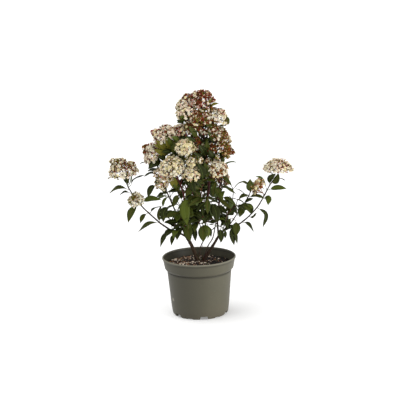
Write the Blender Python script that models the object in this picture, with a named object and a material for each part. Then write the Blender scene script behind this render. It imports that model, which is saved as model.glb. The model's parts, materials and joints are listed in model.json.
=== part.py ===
"""A laurustinus shrub in a round plastic nursery pot.

Metres, +Z up. The origin is the middle of the pot's flat foot, and -Y is the shrub's front.
Stems and boughs are tapering tubes. Each spray is a stem with side shoots, opposite leaves and
domed flower heads, fused into one solid that keeps clear of every other one.
"""

import math
import random

import bmesh
import bpy
from mathutils import Matrix, Vector
from mathutils.bvhtree import BVHTree

# ---------------------------------------------------------------- driving sizes
GAP = 0.0003  # clearance between neighbouring solids
CLEAR = 0.0005  # how much larger a growing shape is made when it is tested against the others
SMOOTH_DEG = 35.0  # edges sharper than this stay sharp

POT_TOP = 0.150
POT_SIDES = 32
FOOT_RADIUS = 0.069
FOOT_RING = 0.0045  # width of the ring round the edge of the foot
PAD_RADIUS = 0.042  # the flat middle of the foot, which stands on the ground too
PAD_SLOPE = 0.002
FLOOR_RISE = 0.0078  # height of the channel between the ring and the flat middle
FLOOR = 0.002  # thickness
NOTCHES = 6
NOTCH_FIRST_DEG = 7.0  # from the front, anticlockwise seen from above
NOTCH_SIZE = (0.020, 0.0070)  # width round the foot, height
NOTCH_FLARE = (1.10, 0.80)  # how much of that width it has below the ground and at its top
NOTCH_BELOW = 0.002
DRAIN_HOLE_RADIUS = 0.0045
DRAIN_HOLE_SIDES = 6
DRAIN_HOLE_CIRCLE = 0.054

SOIL_EDGE = 0.128
SOIL_CROWN = 0.136
SOIL_PLATEAU = 0.040  # radius of the level top that the stems stand on
STEM_FOOT = SOIL_CROWN + GAP

LIMB_SIDES = 6
PATH_STEPS = 2  # samples on each span of a limb's path
STEM_FLARE = 0.35  # how much thicker a stem's foot is than its taper alone
FLARE_LENGTH = 0.006  # over which the flare falls to about a third

LEAF_LENGTH = 0.047
LEAF_LENGTH_SPREAD = 0.12  # each way, as a share
LEAF_WIDTH_SHARE = 0.46
LEAF_WIDTH_SPREAD = 0.10
LEAF_THICKNESS = 0.0011
LEAF_FOLD = 0.10  # how far the edges stand above the midrib, as a share of the width
# (share of the length, share of the width)
LEAF_STATIONS = [(0.46, 1.0), (0.78, 0.66), (1.0, 0.0)]
LEAF_SHRINK = 0.12  # how much shorter the last leaves of a shoot are
LEAF_LEAN = (50, 70)  # degrees from the stem
LEAF_SWING = 0.2  # radians round the stem, each way
LEAF_ROLL = 0.35  # radians round its midrib, each way
LEAF_DROOP_SPREAD = 0.25
LEAF_TRIES = 3
LEVEL_ENOUGH = 0.1  # sine of the least angle from upright at which a leaf has a clear level side

SHOOT_STEPS = 5  # samples on each span of a shoot's path
ROOM_STEPS = 2  # the same, for the room that a shoot will need
FIRST_PAIR = 0.012  # from the foot of a shoot
FIRST_PAIR_SHARE = 0.4  # of a short shoot's length
LONE_PAIR_SHARE = 0.7
TURN_DEG = 90.0  # from one pair of leaves to the next
LAST_PAIR = 0.006  # below a flower head
END_PAIR = 0.002  # below the tip of a shoot with no flower head
NODE_HALF = 0.0011
RING_SPACING = 0.020
STEM_TAPER = 0.28
BUD = 0.004
ASIDE = 0.3  # sine of the least angle from the Y axis at which a shoot's sides are set by it

RAYS = [(0.0, 4), (0.0255, 5), (0.035, 6)]  # number of rays from each radius of head up
RAY_SHRINK = 0.72  # of a ray's thickness, from the hub to its fork
RAY_FORK = 0.40  # where a ray divides, as a share of the head's radius
FORK_TILT = 0.62  # of the head's spread, as the next two
INNER_TILT = 0.46
OUTER_TILT = 0.92
CLUSTER_SIDES = 5
CLUSTER_SHARE = 0.90  # of the room that a cluster of flowers has in the outer ring
CLUSTER_REACH = (0.93, 1.0)  # of the head's radius
TOP_REACH = 0.97
NECK_RADIUS = 0.0009
PEAK = 0.0012  # how far the middle of a fork stands out past it
HEAD_FLATNESS = 0.90
HUB_RADIUS = 0.00032  # for each ray
HUB_RISE = 0.0016
HUB_TAPER = 0.62
HUB_ROOM = 0.0025
HEAD_RISE = 0.003  # from the tip of the stem to the hub

# Paths run from the foot to the tip. Each limb also has its radius at the foot and at the tip.
STEMS = {
    "left_stem": (
        [(-0.004, 0.006, STEM_FOOT), (-0.017, 0.002, 0.175), (-0.034, -0.004, 0.210)],
        0.0040,
        0.0033,
    ),
    "right_stem": (
        [(0.012, 0.008, STEM_FOOT), (0.040, 0.004, 0.180), (0.052, 0.002, 0.200), (0.069, 0.000, 0.219),
         (0.085, -0.002, 0.236)],
        0.0038,
        0.0017,
    ),
    "back_left_stem": (
        [(-0.001, 0.030, STEM_FOOT), (0.006, 0.038, 0.166), (0.012, 0.042, 0.182), (0.005, 0.048, 0.220)],
        0.0017,
        0.0013,
    ),
    "back_right_stem": (
        [(0.013, 0.029, STEM_FOOT), (0.024, 0.038, 0.165), (0.038, 0.045, 0.187), (0.047, 0.052, 0.226)],
        0.0017,
        0.0013,
    ),
}

BOUGHS = {
    "centre_bough": (
        [
            (-0.032, -0.003, 0.206),
            (-0.016, 0.002, 0.228),
            (-0.001, 0.005, 0.242),
            (0.016, 0.005, 0.274),
            (0.028, 0.002, 0.312),
            (0.032, -0.002, 0.352),
        ],
        0.0030,
        0.0024,
    ),
    "left_bough": (
        [(-0.0345, -0.0042, 0.2105), (-0.044, -0.008, 0.235), (-0.051, -0.010, 0.257)],
        0.0024,
        0.0020,
    ),
    "centre_left_bough": (
        [(-0.034, -0.004, 0.2095), (-0.034, -0.014, 0.228), (-0.034, -0.022, 0.246), (-0.034, -0.032, 0.279)],
        0.0022,
        0.0018,
    ),
    "far_left_bough": (
        [
            (-0.030, -0.0025, 0.202),
            (-0.048, -0.006, 0.213),
            (-0.062, -0.008, 0.217),
            (-0.080, -0.011, 0.230),
            (-0.097, -0.012, 0.243),
        ],
        0.0021,
        0.0017,
    ),
    "upper_left_bough": (
        [(0.016, 0.005, 0.274), (0.004, 0.012, 0.310), (-0.016, 0.012, 0.352), (-0.038, 0.004, 0.400)],
        0.0019,
        0.0016,
    ),
    "right_bough": ([(0.052, 0.002, 0.200), (0.050, -0.006, 0.239), (0.053, -0.012, 0.277)], 0.0026, 0.0020),
    "far_right_bough": (
        [(0.066, 0.000, 0.2155), (0.078, 0.003, 0.2195), (0.090, 0.005, 0.223), (0.109, 0.008, 0.231)],
        0.0020,
        0.0016,
    ),
}


def head(radius, axis, spread=86.0, neck=0.0):
    """A domed flower head at a shoot's tip.

    It has a radius, the way it faces, how wide its rays open, and how far along each ray its
    cluster of flowers begins to open.
    """
    return {"radius": radius, "axis": axis, "spread": spread, "neck": neck}


def shoot(path, radius, pairs=0, phase=0.0, turn=TURN_DEG, leaf=LEAF_LENGTH, droop=55.0, head=None):
    """One shoot: its path, its foot's radius, its pairs of leaves and the flower head at its tip."""
    return {
        "path": path,
        "radius": radius,
        "pairs": pairs,
        "phase": phase,
        "turn": turn,
        "leaf": leaf,
        "droop": droop,
        "head": head,
    }


# The first shoot of a spray carries on from a limb's tip. The others leave the shoots before them.
SPRAYS = {
    "far_left_spray": [
        shoot(
            [(-0.097, -0.012, 0.243), (-0.124, -0.014, 0.270), (-0.143, -0.015, 0.291),
             (-0.171, -0.015, 0.334), (-0.184, -0.012, 0.369)],
            0.0016, pairs=6, phase=0, turn=12, leaf=0.049, droop=62,
            head=head(0.040, (-0.1, -0.1, 1.0), 92, 0.45),
        ),
        shoot([(-0.143, -0.015, 0.291), (-0.152, -0.019, 0.299)], 0.0011,
              head=head(0.022, (-0.2, -0.5, 0.8))),
        shoot([(-0.176, -0.015, 0.345), (-0.168, -0.016, 0.365)], 0.0010, pairs=1, leaf=0.026, phase=10),
    ],
    "left_spray": [
        shoot(
            [(-0.051, -0.010, 0.257), (-0.061, -0.013, 0.284), (-0.073, -0.018, 0.316),
             (-0.083, -0.020, 0.340), (-0.092, -0.018, 0.368), (-0.103, -0.008, 0.411)],
            0.0019, pairs=6, phase=10, turn=80, leaf=0.044, head=head(0.028, (-0.6, -0.3, 0.7)),
        ),
        shoot([(-0.085, -0.020, 0.346), (-0.087, -0.029, 0.350)], 0.0011,
              head=head(0.019, (-0.1, -0.9, 0.1))),
        shoot([(-0.091, -0.019, 0.364), (-0.090, -0.029, 0.371)], 0.0011,
              head=head(0.019, (0.0, -0.8, 0.5))),
    ],
    "upper_left_spray": [
        shoot(
            [(-0.038, 0.004, 0.400), (-0.052, -0.002, 0.428), (-0.072, -0.008, 0.456)],
            0.0015, pairs=2, phase=30, leaf=0.038, head=head(0.032, (-0.4, -0.2, 0.9)),
        ),
        shoot(
            [(-0.046, 0.001, 0.415), (-0.040, -0.002, 0.440), (-0.036, -0.004, 0.468)],
            0.0012, pairs=1, phase=60, leaf=0.036, head=head(0.027, (0.1, -0.2, 1.0)),
        ),
    ],
    "centre_left_spray": [
        shoot(
            [(-0.034, -0.032, 0.279), (-0.033, -0.040, 0.314), (-0.038, -0.044, 0.338),
             (-0.046, -0.046, 0.362), (-0.058, -0.048, 0.388)],
            0.0017, pairs=5, phase=45, leaf=0.050, droop=75, head=head(0.033, (-0.2, -0.6, 0.8)),
        ),
        shoot(
            [(-0.034, -0.041, 0.320), (-0.022, -0.047, 0.346), (-0.012, -0.050, 0.370)],
            0.0013, pairs=1, phase=70, droop=75, head=head(0.029, (0.1, -0.8, 0.6)),
        ),
        shoot(
            [(-0.040, -0.044, 0.345), (-0.033, -0.044, 0.385), (-0.022, -0.046, 0.428)],
            0.0012, pairs=1, phase=80, leaf=0.038, head=head(0.031, (-0.1, -0.6, 0.8)),
        ),
    ],
    "upper_right_spray": [
        shoot(
            [(0.031, -0.001, 0.340), (0.042, 0.000, 0.368), (0.047, -0.002, 0.400), (0.050, -0.008, 0.440),
             (0.051, -0.012, 0.475), (0.053, -0.013, 0.503)],
            0.0018, pairs=5, phase=35, leaf=0.036, head=head(0.031, (0.4, -0.3, 0.85)),
        ),
        shoot([(0.050, -0.008, 0.440), (0.056, -0.016, 0.462)], 0.0012, head=head(0.027, (0.4, -0.5, 0.8))),
        shoot([(0.048, -0.004, 0.415), (0.064, -0.006, 0.424)], 0.0012,
              head=head(0.028, (0.8, -0.3, 0.6))),
    ],
    "crown_spray": [
        shoot(
            [(0.032, -0.002, 0.352), (0.027, -0.005, 0.414), (0.020, -0.005, 0.478), (0.018, -0.002, 0.544)],
            0.0023, pairs=7, phase=20, leaf=0.040, head=head(0.037, (0.0, -0.1, 1.0)),
        ),
        shoot(
            [(0.024, -0.005, 0.440), (0.004, -0.010, 0.480), (-0.018, -0.016, 0.520)],
            0.0013, pairs=1, phase=30, leaf=0.034, head=head(0.028, (-0.5, -0.4, 0.8)),
        ),
        shoot([(0.020, -0.005, 0.478), (0.014, -0.018, 0.496), (0.012, -0.029, 0.508)], 0.0012,
              head=head(0.026, (0.0, -0.7, 0.7))),
        shoot([(0.029, -0.004, 0.385), (0.016, -0.010, 0.408), (0.006, -0.012, 0.428)], 0.0012,
              pairs=1, phase=40, leaf=0.034, head=head(0.022, (-0.1, -0.5, 0.9))),
        shoot([(0.021, -0.005, 0.465), (0.012, 0.014, 0.490), (0.000, 0.028, 0.516)], 0.0012,
              pairs=1, phase=60, leaf=0.034, head=head(0.029, (-0.1, 0.6, 0.8))),
    ],
    "right_spray": [
        shoot(
            [(0.053, -0.012, 0.277), (0.057, -0.015, 0.312), (0.058, -0.026, 0.345), (0.054, -0.040, 0.378)],
            0.0018, pairs=4, phase=5, leaf=0.050, droop=70, head=head(0.030, (0.1, -0.6, 0.8)),
        ),
        shoot([(0.057, -0.018, 0.322), (0.070, -0.016, 0.348), (0.076, -0.012, 0.372)], 0.0012,
              pairs=2, phase=10, leaf=0.044, droop=60),
    ],
    "right_inner_spray": [
        shoot(
            [(0.085, -0.002, 0.236), (0.098, -0.004, 0.255), (0.118, -0.006, 0.284), (0.134, -0.005, 0.311),
             (0.139, -0.004, 0.326)],
            0.0015, pairs=5, phase=10, turn=50, leaf=0.042, droop=50,
        ),
        shoot([(0.101, -0.004, 0.259), (0.098, -0.016, 0.280), (0.102, -0.022, 0.300)], 0.0011,
              pairs=3, phase=20, leaf=0.040),
    ],
    "far_right_spray": [
        shoot(
            [(0.109, 0.008, 0.231), (0.129, 0.008, 0.247), (0.153, 0.008, 0.272), (0.169, 0.006, 0.298),
             (0.187, 0.005, 0.331), (0.2075, 0.005, 0.358)],
            0.0015, pairs=6, phase=10, turn=15, leaf=0.043, droop=62,
            head=head(0.041, (0.05, 0.0, 1.0), 80, 0.45),
        ),
        shoot([(0.169, 0.006, 0.298), (0.170, 0.002, 0.308)], 0.0012,
              head=head(0.030, (-0.75, -0.1, 0.65), 44, 0.4)),
    ],
    "back_left_spray": [
        shoot(
            [(0.005, 0.048, 0.220), (-0.012, 0.060, 0.270), (-0.034, 0.068, 0.330), (-0.047, 0.068, 0.390),
             (-0.052, 0.066, 0.436)],
            0.0012, pairs=6, phase=40, head=head(0.032, (-0.2, 0.5, 0.85)),
        ),
        shoot([(-0.022, 0.064, 0.296), (-0.046, 0.074, 0.324), (-0.062, 0.080, 0.350)], 0.0011,
              pairs=2, phase=15, head=head(0.028, (-0.4, 0.6, 0.7))),
        shoot([(-0.006, 0.055, 0.252), (-0.016, 0.078, 0.268), (-0.022, 0.092, 0.290)], 0.0010,
              pairs=2, phase=65, droop=70),
    ],
    "back_right_spray": [
        shoot(
            [(0.047, 0.052, 0.226), (0.058, 0.060, 0.280), (0.066, 0.068, 0.340), (0.063, 0.066, 0.400),
             (0.060, 0.064, 0.436)],
            0.0012, pairs=6, phase=20, head=head(0.032, (0.3, 0.5, 0.8)),
        ),
        shoot([(0.058, 0.060, 0.275), (0.058, 0.078, 0.305), (0.060, 0.084, 0.328)], 0.0011,
              pairs=1, phase=30, head=head(0.027, (0.2, 0.8, 0.5))),
        shoot([(0.052, 0.056, 0.250), (0.072, 0.070, 0.268), (0.084, 0.076, 0.288)], 0.0010,
              pairs=2, phase=0, droop=70),
    ],
    "back_centre_spray": [
        shoot(
            [(0.016, 0.005, 0.274), (0.018, 0.022, 0.300), (0.018, 0.040, 0.335), (0.014, 0.052, 0.372),
             (0.010, 0.058, 0.410), (0.010, 0.060, 0.470)],
            0.0016, pairs=7, phase=10, leaf=0.042, head=head(0.032, (0.0, 0.6, 0.8)),
        ),
        shoot([(0.012, 0.056, 0.392), (0.012, 0.080, 0.398), (0.012, 0.088, 0.404)], 0.0011,
              head=head(0.028, (0.0, 0.8, 0.5))),
    ],
    "middle_skirt_spray": [
        shoot(
            [(0.016, 0.005, 0.274), (0.012, -0.020, 0.292), (0.010, -0.034, 0.318), (0.014, -0.038, 0.345)],
            0.0013, pairs=4, phase=15, leaf=0.054, droop=85,
        ),
        shoot([(0.012, -0.018, 0.290), (-0.006, -0.034, 0.306), (-0.012, -0.046, 0.330)], 0.0011,
              pairs=3, phase=50, leaf=0.050, droop=80),
    ],
    "left_skirt_spray": [
        shoot(
            [(-0.040, -0.004, 0.2075), (-0.052, -0.020, 0.224), (-0.060, -0.030, 0.244)],
            0.0013, pairs=3, phase=20, leaf=0.055, droop=80,
        ),
        shoot([(-0.046, -0.012, 0.216), (-0.062, -0.016, 0.236), (-0.078, -0.018, 0.262)], 0.0011,
              pairs=2, phase=15, leaf=0.044, droop=75),
    ],
    "centre_skirt_spray": [
        shoot(
            [(-0.016, 0.002, 0.228), (-0.010, -0.016, 0.236), (0.004, -0.034, 0.248), (0.014, -0.046, 0.266)],
            0.0014, pairs=4, phase=30, leaf=0.052, droop=85,
        ),
        shoot([(-0.002, -0.026, 0.242), (0.020, -0.034, 0.246), (0.038, -0.040, 0.258)], 0.0011,
              pairs=3, phase=0, leaf=0.050, droop=80),
    ],
    "right_skirt_spray": [
        shoot(
            [(0.060, 0.001, 0.209), (0.064, -0.018, 0.224), (0.070, -0.030, 0.246), (0.074, -0.034, 0.272)],
            0.0013, pairs=4, phase=25, leaf=0.052, droop=80,
        ),
        shoot([(0.065, -0.020, 0.227), (0.048, -0.032, 0.240), (0.040, -0.038, 0.262)], 0.0011,
              pairs=2, phase=10, leaf=0.050, droop=80),
    ],
    "back_skirt_spray": [
        shoot(
            [(-0.008, 0.0035, 0.2355), (-0.014, 0.026, 0.250), (-0.022, 0.042, 0.276)],
            0.0013, pairs=2, phase=40, leaf=0.052, droop=80,
        ),
        shoot([(-0.012, 0.022, 0.247), (-0.036, 0.030, 0.262), (-0.052, 0.034, 0.290)], 0.0011,
              pairs=3, phase=20, leaf=0.045, droop=75),
    ],
}


# ---------------------------------------------------------------- materials
FINISHES = {
    "pot_plastic": ((0.115, 0.112, 0.088), 0.45),
    "compost": ((0.070, 0.040, 0.026), 0.95),
    "bark": ((0.085, 0.042, 0.028), 0.75),
    "foliage": ((0.075, 0.125, 0.030), 0.50),
    "blossom": ((0.62, 0.52, 0.42), 0.70),
}


def finish(name):
    """A plain surface of one colour."""
    colour, roughness = FINISHES[name]
    material = bpy.data.materials.new(name)
    material.use_nodes = True
    shader = material.node_tree.nodes["Principled BSDF"]
    shader.inputs["Base Color"].default_value = (*colour, 1.0)
    shader.inputs["Roughness"].default_value = roughness
    shader.inputs["Metallic"].default_value = 0.0
    return material


# ---------------------------------------------------------------- small tools
def add_object(name, points, faces, material=None):
    """A closed mesh with its faces turned outwards."""
    mesh = bpy.data.meshes.new(name)
    build = bmesh.new()
    corners = [build.verts.new(p) for p in points]
    for face in faces:
        build.faces.new([corners[i] for i in face])
    bmesh.ops.triangulate(build, faces=[f for f in build.faces if len(f.verts) > 3])
    bmesh.ops.recalc_face_normals(build, faces=build.faces[:])
    if build.calc_volume(signed=True) < 0:
        bmesh.ops.reverse_faces(build, faces=build.faces[:])
    build.to_mesh(mesh)
    build.free()
    if material:
        mesh.materials.append(material)
    obj = bpy.data.objects.new(name, mesh)
    bpy.context.scene.collection.objects.link(obj)
    return obj


def remove_object(obj):
    mesh = obj.data
    bpy.data.objects.remove(obj)
    bpy.data.meshes.remove(mesh)


def smooth_path(points, steps):
    """Points on a Catmull-Rom curve through the given ones."""
    knots = [Vector(p) for p in points]
    ends = [2 * knots[0] - knots[1], *knots, 2 * knots[-1] - knots[-2]]
    path = []
    for a, b, c, d in zip(ends, ends[1:], ends[2:], ends[3:]):
        for i in range(steps):
            t = i / steps
            path.append(
                0.5 * (2 * b + (c - a) * t + (2 * a - 5 * b + 4 * c - d) * t * t
                       + (3 * b - a - 3 * c + d) * t * t * t)
            )
    return path + [knots[-1]]


def lengths_along(path):
    total = [0.0]
    for a, b in zip(path, path[1:]):
        total.append(total[-1] + (b - a).length)
    return total


def place_on(path, distance):
    """The point and direction at this distance along the path."""
    along = lengths_along(path)
    for i in range(len(path) - 1):
        if distance <= along[i + 1] or i == len(path) - 2:
            share = (distance - along[i]) / (along[i + 1] - along[i])
            return path[i].lerp(path[i + 1], share), (path[i + 1] - path[i]).normalized()
    return path[-1], (path[-1] - path[-2]).normalized()


def rings_along(path, radii, sides):
    """Rings of points square to the path, carried along it without twist."""
    direction = (path[1] - path[0]).normalized()
    side = direction.orthogonal().normalized()
    rings = []
    for i, centre in enumerate(path):
        ahead = path[min(i + 1, len(path) - 1)] - path[max(i - 1, 0)]
        turn = direction.rotation_difference(ahead.normalized())
        side = turn @ side
        direction = ahead.normalized()
        other = direction.cross(side)
        rings.append([
            centre + radii[i] * (math.cos(a) * side + math.sin(a) * other)
            for a in (2 * math.pi * k / sides for k in range(sides))
        ])
    return rings


def skin(rings, tip=None):
    """A closed mesh over rings of equal count, ending flat or in one tip point."""
    sides = len(rings[0])
    points = [p for ring in rings for p in ring]
    faces = [tuple(reversed(range(sides)))]
    for i in range(len(rings) - 1):
        for k in range(sides):
            j = (k + 1) % sides
            a, b = i * sides + k, i * sides + j
            faces.append((a, b, b + sides, a + sides))
    last = (len(rings) - 1) * sides
    if tip is None:
        faces.append(tuple(range(last, last + sides)))
    else:
        points.append(tip)
        faces += [(last + k, last + (k + 1) % sides, len(points) - 1) for k in range(sides)]
    return points, faces


def taper(path, foot, tip, flare):
    """The radius at each point of a limb."""
    along = lengths_along(path)
    return [
        foot + (tip - foot) * s / along[-1] + foot * flare * math.exp(-s / FLARE_LENGTH)
        for s in along
    ]


def apply_modifiers(obj):
    graph = bpy.context.evaluated_depsgraph_get()
    mesh = bpy.data.meshes.new_from_object(obj.evaluated_get(graph))
    old = obj.data
    obj.modifiers.clear()
    obj.data = mesh
    bpy.data.meshes.remove(old)


def cut_away(obj, cutters):
    """Cuts each cutter from the object, then removes the cutters."""
    for cutter in cutters:
        cut = obj.modifiers.new("cut", "BOOLEAN")
        cut.operation = "DIFFERENCE"
        cut.object = cutter
    apply_modifiers(obj)
    for cutter in cutters:
        remove_object(cutter)
    keep_largest(obj)


def shells_of(mesh):
    """The mesh's connected shells, each as a set of faces."""
    left = set(mesh.faces)
    while left:
        found, front = set(), [left.pop()]
        while front:
            face = front.pop()
            found.add(face)
            for edge in face.edges:
                for other in edge.link_faces:
                    if other in left:
                        left.remove(other)
                        front.append(other)
        yield found


def keep_largest(obj):
    """Keeps the outer shell: loose scraps are dropped and sealed hollows are filled."""
    mesh = bmesh.new()
    mesh.from_mesh(obj.data)
    shells = sorted(shells_of(mesh), key=len, reverse=True)
    for shell in shells[1:]:
        points = {v for face in shell for v in face.verts}
        bmesh.ops.delete(mesh, geom=list(points), context="VERTS")
    bmesh.ops.triangulate(mesh, faces=mesh.faces[:])
    mesh.to_mesh(obj.data)
    mesh.free()


def tree_of(obj):
    return BVHTree.FromPolygons(
        [v.co for v in obj.data.vertices], [tuple(p.vertices) for p in obj.data.polygons]
    )


# ---------------------------------------------------------------- pot and soil
def turned(name, profile, sides, material):
    """A solid turned about Z from a closed outline of (radius, height) points, on the axis at both ends."""
    points, faces, rows = [], [], []
    for radius, height in profile:
        if radius == 0:
            rows.append([len(points)] * sides)
            points.append(Vector((0, 0, height)))
            continue
        rows.append(list(range(len(points), len(points) + sides)))
        for k in range(sides):
            angle = 2 * math.pi * k / sides
            points.append(Vector((radius * math.cos(angle), radius * math.sin(angle), height)))
    for low, high in zip(rows, rows[1:]):
        for k in range(sides):
            j = (k + 1) % sides
            corners = [low[k], low[j], high[j], high[k]]
            faces.append(tuple(dict.fromkeys(corners)))
    return add_object(name, points, faces, material)


POT_OUTSIDE = [
    (FOOT_RADIUS, 0.0),
    (0.0723, 0.004),
    (0.0752, 0.026),
    (0.0832, 0.1165),
    (0.0886, 0.1212),
    (0.0930, 0.144),
    (0.0950, 0.1455),
    (0.0950, 0.1488),
    (0.0938, POT_TOP),
]
POT_INSIDE = [
    (0.0922, POT_TOP),
    (0.0868, 0.1218),
    (0.0812, 0.1170),
    (0.0734, 0.026),
    (0.0694, FLOOR_RISE + FLOOR),
]
FOOT_OUTLINE = [
    (0, 0),
    (PAD_RADIUS, 0),
    (PAD_RADIUS + PAD_SLOPE, FLOOR_RISE),
    (FOOT_RADIUS - FOOT_RING, FLOOR_RISE),
    (FOOT_RADIUS - FOOT_RING, 0),
]
FLOOR_OUTLINE = [
    (PAD_RADIUS, FLOOR_RISE + FLOOR),
    (PAD_RADIUS - PAD_SLOPE, FLOOR),
    (0, FLOOR),
]


def inside_radius(height):
    """The pot's inner radius at this height."""
    for (r1, z1), (r0, z0) in zip(POT_INSIDE, POT_INSIDE[1:]):
        if z0 <= height <= z1:
            return r0 + (r1 - r0) * (height - z0) / (z1 - z0)
    return POT_INSIDE[-1][0]


def notch_cutter(angle_deg):
    """A wedge with sloping sides that opens the foot ring."""
    width, height = NOTCH_SIZE
    low, high = (width / 2 * share for share in NOTCH_FLARE)
    points = []
    for y in (3 * FOOT_RING - FOOT_RADIUS, -FOOT_RADIUS - 2 * FOOT_RING):
        for x, z in ((-low, -NOTCH_BELOW), (low, -NOTCH_BELOW), (high, height), (-high, height)):
            points.append(Vector((x, y, z)))
    faces = [(0, 1, 2, 3), (7, 6, 5, 4), (0, 4, 5, 1), (1, 5, 6, 2), (2, 6, 7, 3), (3, 7, 4, 0)]
    turn = Matrix.Rotation(math.radians(angle_deg), 3, "Z")
    return add_object("notch_cutter", [turn @ p for p in points], faces)


def drain_cutter(angle_deg):
    centre = Matrix.Rotation(math.radians(angle_deg), 3, "Z") @ Vector((0, -DRAIN_HOLE_CIRCLE, 0))
    path = [centre, centre + Vector((0, 0, 2 * FLOOR_RISE))]
    points, faces = skin(rings_along(path, [DRAIN_HOLE_RADIUS] * 2, DRAIN_HOLE_SIDES))
    return add_object("drain_cutter", points, faces)


def make_pot(material):
    outline = FOOT_OUTLINE + POT_OUTSIDE + POT_INSIDE + FLOOR_OUTLINE
    pot = turned("pot", outline, POT_SIDES, material)
    step = 360.0 / NOTCHES
    cutters = []
    for k in range(NOTCHES):
        angle = NOTCH_FIRST_DEG + k * step
        cutters.append(notch_cutter(angle))
        cutters.append(drain_cutter(angle - step / 2))
    cut_away(pot, cutters)
    return pot


def make_soil(material):
    """The root ball: it fills the pot and is a little higher round the stems."""
    bottom = [(max(0, radius - GAP), height + GAP) for radius, height in reversed(FLOOR_OUTLINE)]
    corner = FLOOR_RISE + FLOOR + GAP
    bends = [z for _, z in reversed(POT_INSIDE) if corner < z < SOIL_EDGE]
    wall = [(inside_radius(z) - GAP, z) for z in (corner, *bends, SOIL_EDGE)]
    profile = [*bottom, *wall, (SOIL_PLATEAU, SOIL_CROWN), (0, SOIL_CROWN)]
    soil = turned("soil", profile, POT_SIDES, material)
    keep_largest(soil)
    return soil


# ---------------------------------------------------------------- limbs
def limb_mesh(spec, flare, grow=0.0):
    """A tapering tube, which may be a little larger all round than the limb itself."""
    points, foot, tip = spec
    path = smooth_path(points, PATH_STEPS)
    radii = [r + grow for r in taper(path, foot, tip, flare)]
    path[-1] = path[-1] + (path[-1] - path[-2]).normalized() * grow
    return skin(rings_along(path, radii, LIMB_SIDES))


def limb_cutters(obj, limbs):
    """The limbs that meet this object, made larger by the clearance."""
    own = tree_of(obj)
    cutters = []
    for spec, flare in limbs:
        cutter = add_object("limb_cutter", *limb_mesh(spec, flare, grow=GAP))
        if own.overlap(tree_of(cutter)):
            cutters.append(cutter)
        else:
            remove_object(cutter)
    return cutters


def make_limb(name, spec, material, flare, limbs):
    """One tapering limb, cut clear of the limbs that it leaves. A flared one has a level foot."""
    limb = add_object(name, *limb_mesh(spec, flare), material)
    if flare:
        for vertex in list(limb.data.vertices)[:LIMB_SIDES]:
            vertex.co.z = spec[0][0][2]
    cut_away(limb, limb_cutters(limb, limbs))
    return limb


# ---------------------------------------------------------------- leaves and flower heads
def bridge(lower, upper):
    """Triangles between two loops of indices whose first corners line up."""
    faces, i, j = [], 0, 0
    while i < len(lower) or j < len(upper):
        a, b = lower[i % len(lower)], upper[j % len(upper)]
        if (i + 0.5) / len(lower) < (j + 0.5) / len(upper):
            i += 1
            faces.append((a, lower[i % len(lower)], b))
        else:
            j += 1
            faces.append((a, upper[j % len(upper)], b))
    return faces


def middle_of(points):
    return sum(points, Vector()) / len(points)


def closed_rings(rings):
    """A closed mesh through rings of any counts."""
    growth = Growth()
    loop = growth.add(rings[0])
    growth.faces.append(tuple(reversed(loop)))
    growth.extend(loop, rings[1:])
    return growth.points, growth.faces


class Growth:
    """A mesh under construction, which grows out of its own open loops."""

    def __init__(self):
        self.points = []
        self.faces = []

    def add(self, ring):
        self.points.extend(ring)
        return list(range(len(self.points) - len(ring), len(self.points)))

    def corners(self, loop):
        return [self.points[i] for i in loop]

    def lined_up(self, loop, towards):
        """The same loop, begun at the corner that lies on the side of the next ring's first one."""
        centre = middle_of(self.corners(loop))
        best = max(range(len(loop)), key=lambda i: (self.points[loop[i]] - centre).dot(towards))
        return loop[best:] + loop[:best]

    def extend(self, loop, rings):
        """Grows a closed limb from a loop through rings, the last of which may be one point."""
        for ring in rings:
            if len(ring) == 1:
                tip = self.add(ring)[0]
                self.faces += [(a, b, tip) for a, b in zip(loop, loop[1:] + loop[:1])]
                return
            new = self.add(ring)
            loop = self.lined_up(loop, ring[0] - middle_of(ring))
            self.faces += bridge(loop, new)
            loop = new
        self.faces.append(tuple(loop))


def ring_facing(centre, heading, start, radius, sides):
    """A ring of points square to a heading, with its first one on the side of a given point."""
    heading = heading.normalized()
    side = start - centre
    side = (side - side.dot(heading) * heading).normalized()
    other = heading.cross(side)
    return [
        centre + radius * (math.cos(a) * side + math.sin(a) * other)
        for a in (math.tau * k / sides for k in range(sides))
    ]


def leaf_rings(root, direction, length, width, droop, roll, grow=0.0):
    """The sections of a folded, arching leaf from its widest place to its tip."""
    across = direction.cross(Vector((0, 0, -1)))
    if across.length < LEVEL_ENOUGH:
        across = direction.orthogonal()
    across.normalize()
    centre, heading, rings, before = root.copy(), direction.copy(), [], 0.0
    for share, wide in LEAF_STATIONS:
        bend = Matrix.Rotation(-droop * (share - before), 3, across)
        if (bend @ heading).z > heading.z:
            bend.invert()
        centre = centre + heading * (share - before) * (length + grow)
        heading = bend @ heading
        before = share
        rib_across = Matrix.Rotation(roll, 3, heading) @ across
        above = heading.cross(rib_across).normalized()
        half = wide * width / 2 + grow
        lift = above * (LEAF_FOLD * width * wide + LEAF_THICKNESS / 2 + grow)
        keel = above * (LEAF_THICKNESS / 2 + grow)
        rings.append([
            centre + rib_across * half + lift, centre - rib_across * half + lift, centre - keel
        ])
    return rings[:-1] + [[centre]]


def varied(chance, spread):
    return chance.uniform(1 - spread, 1 + spread)


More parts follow.
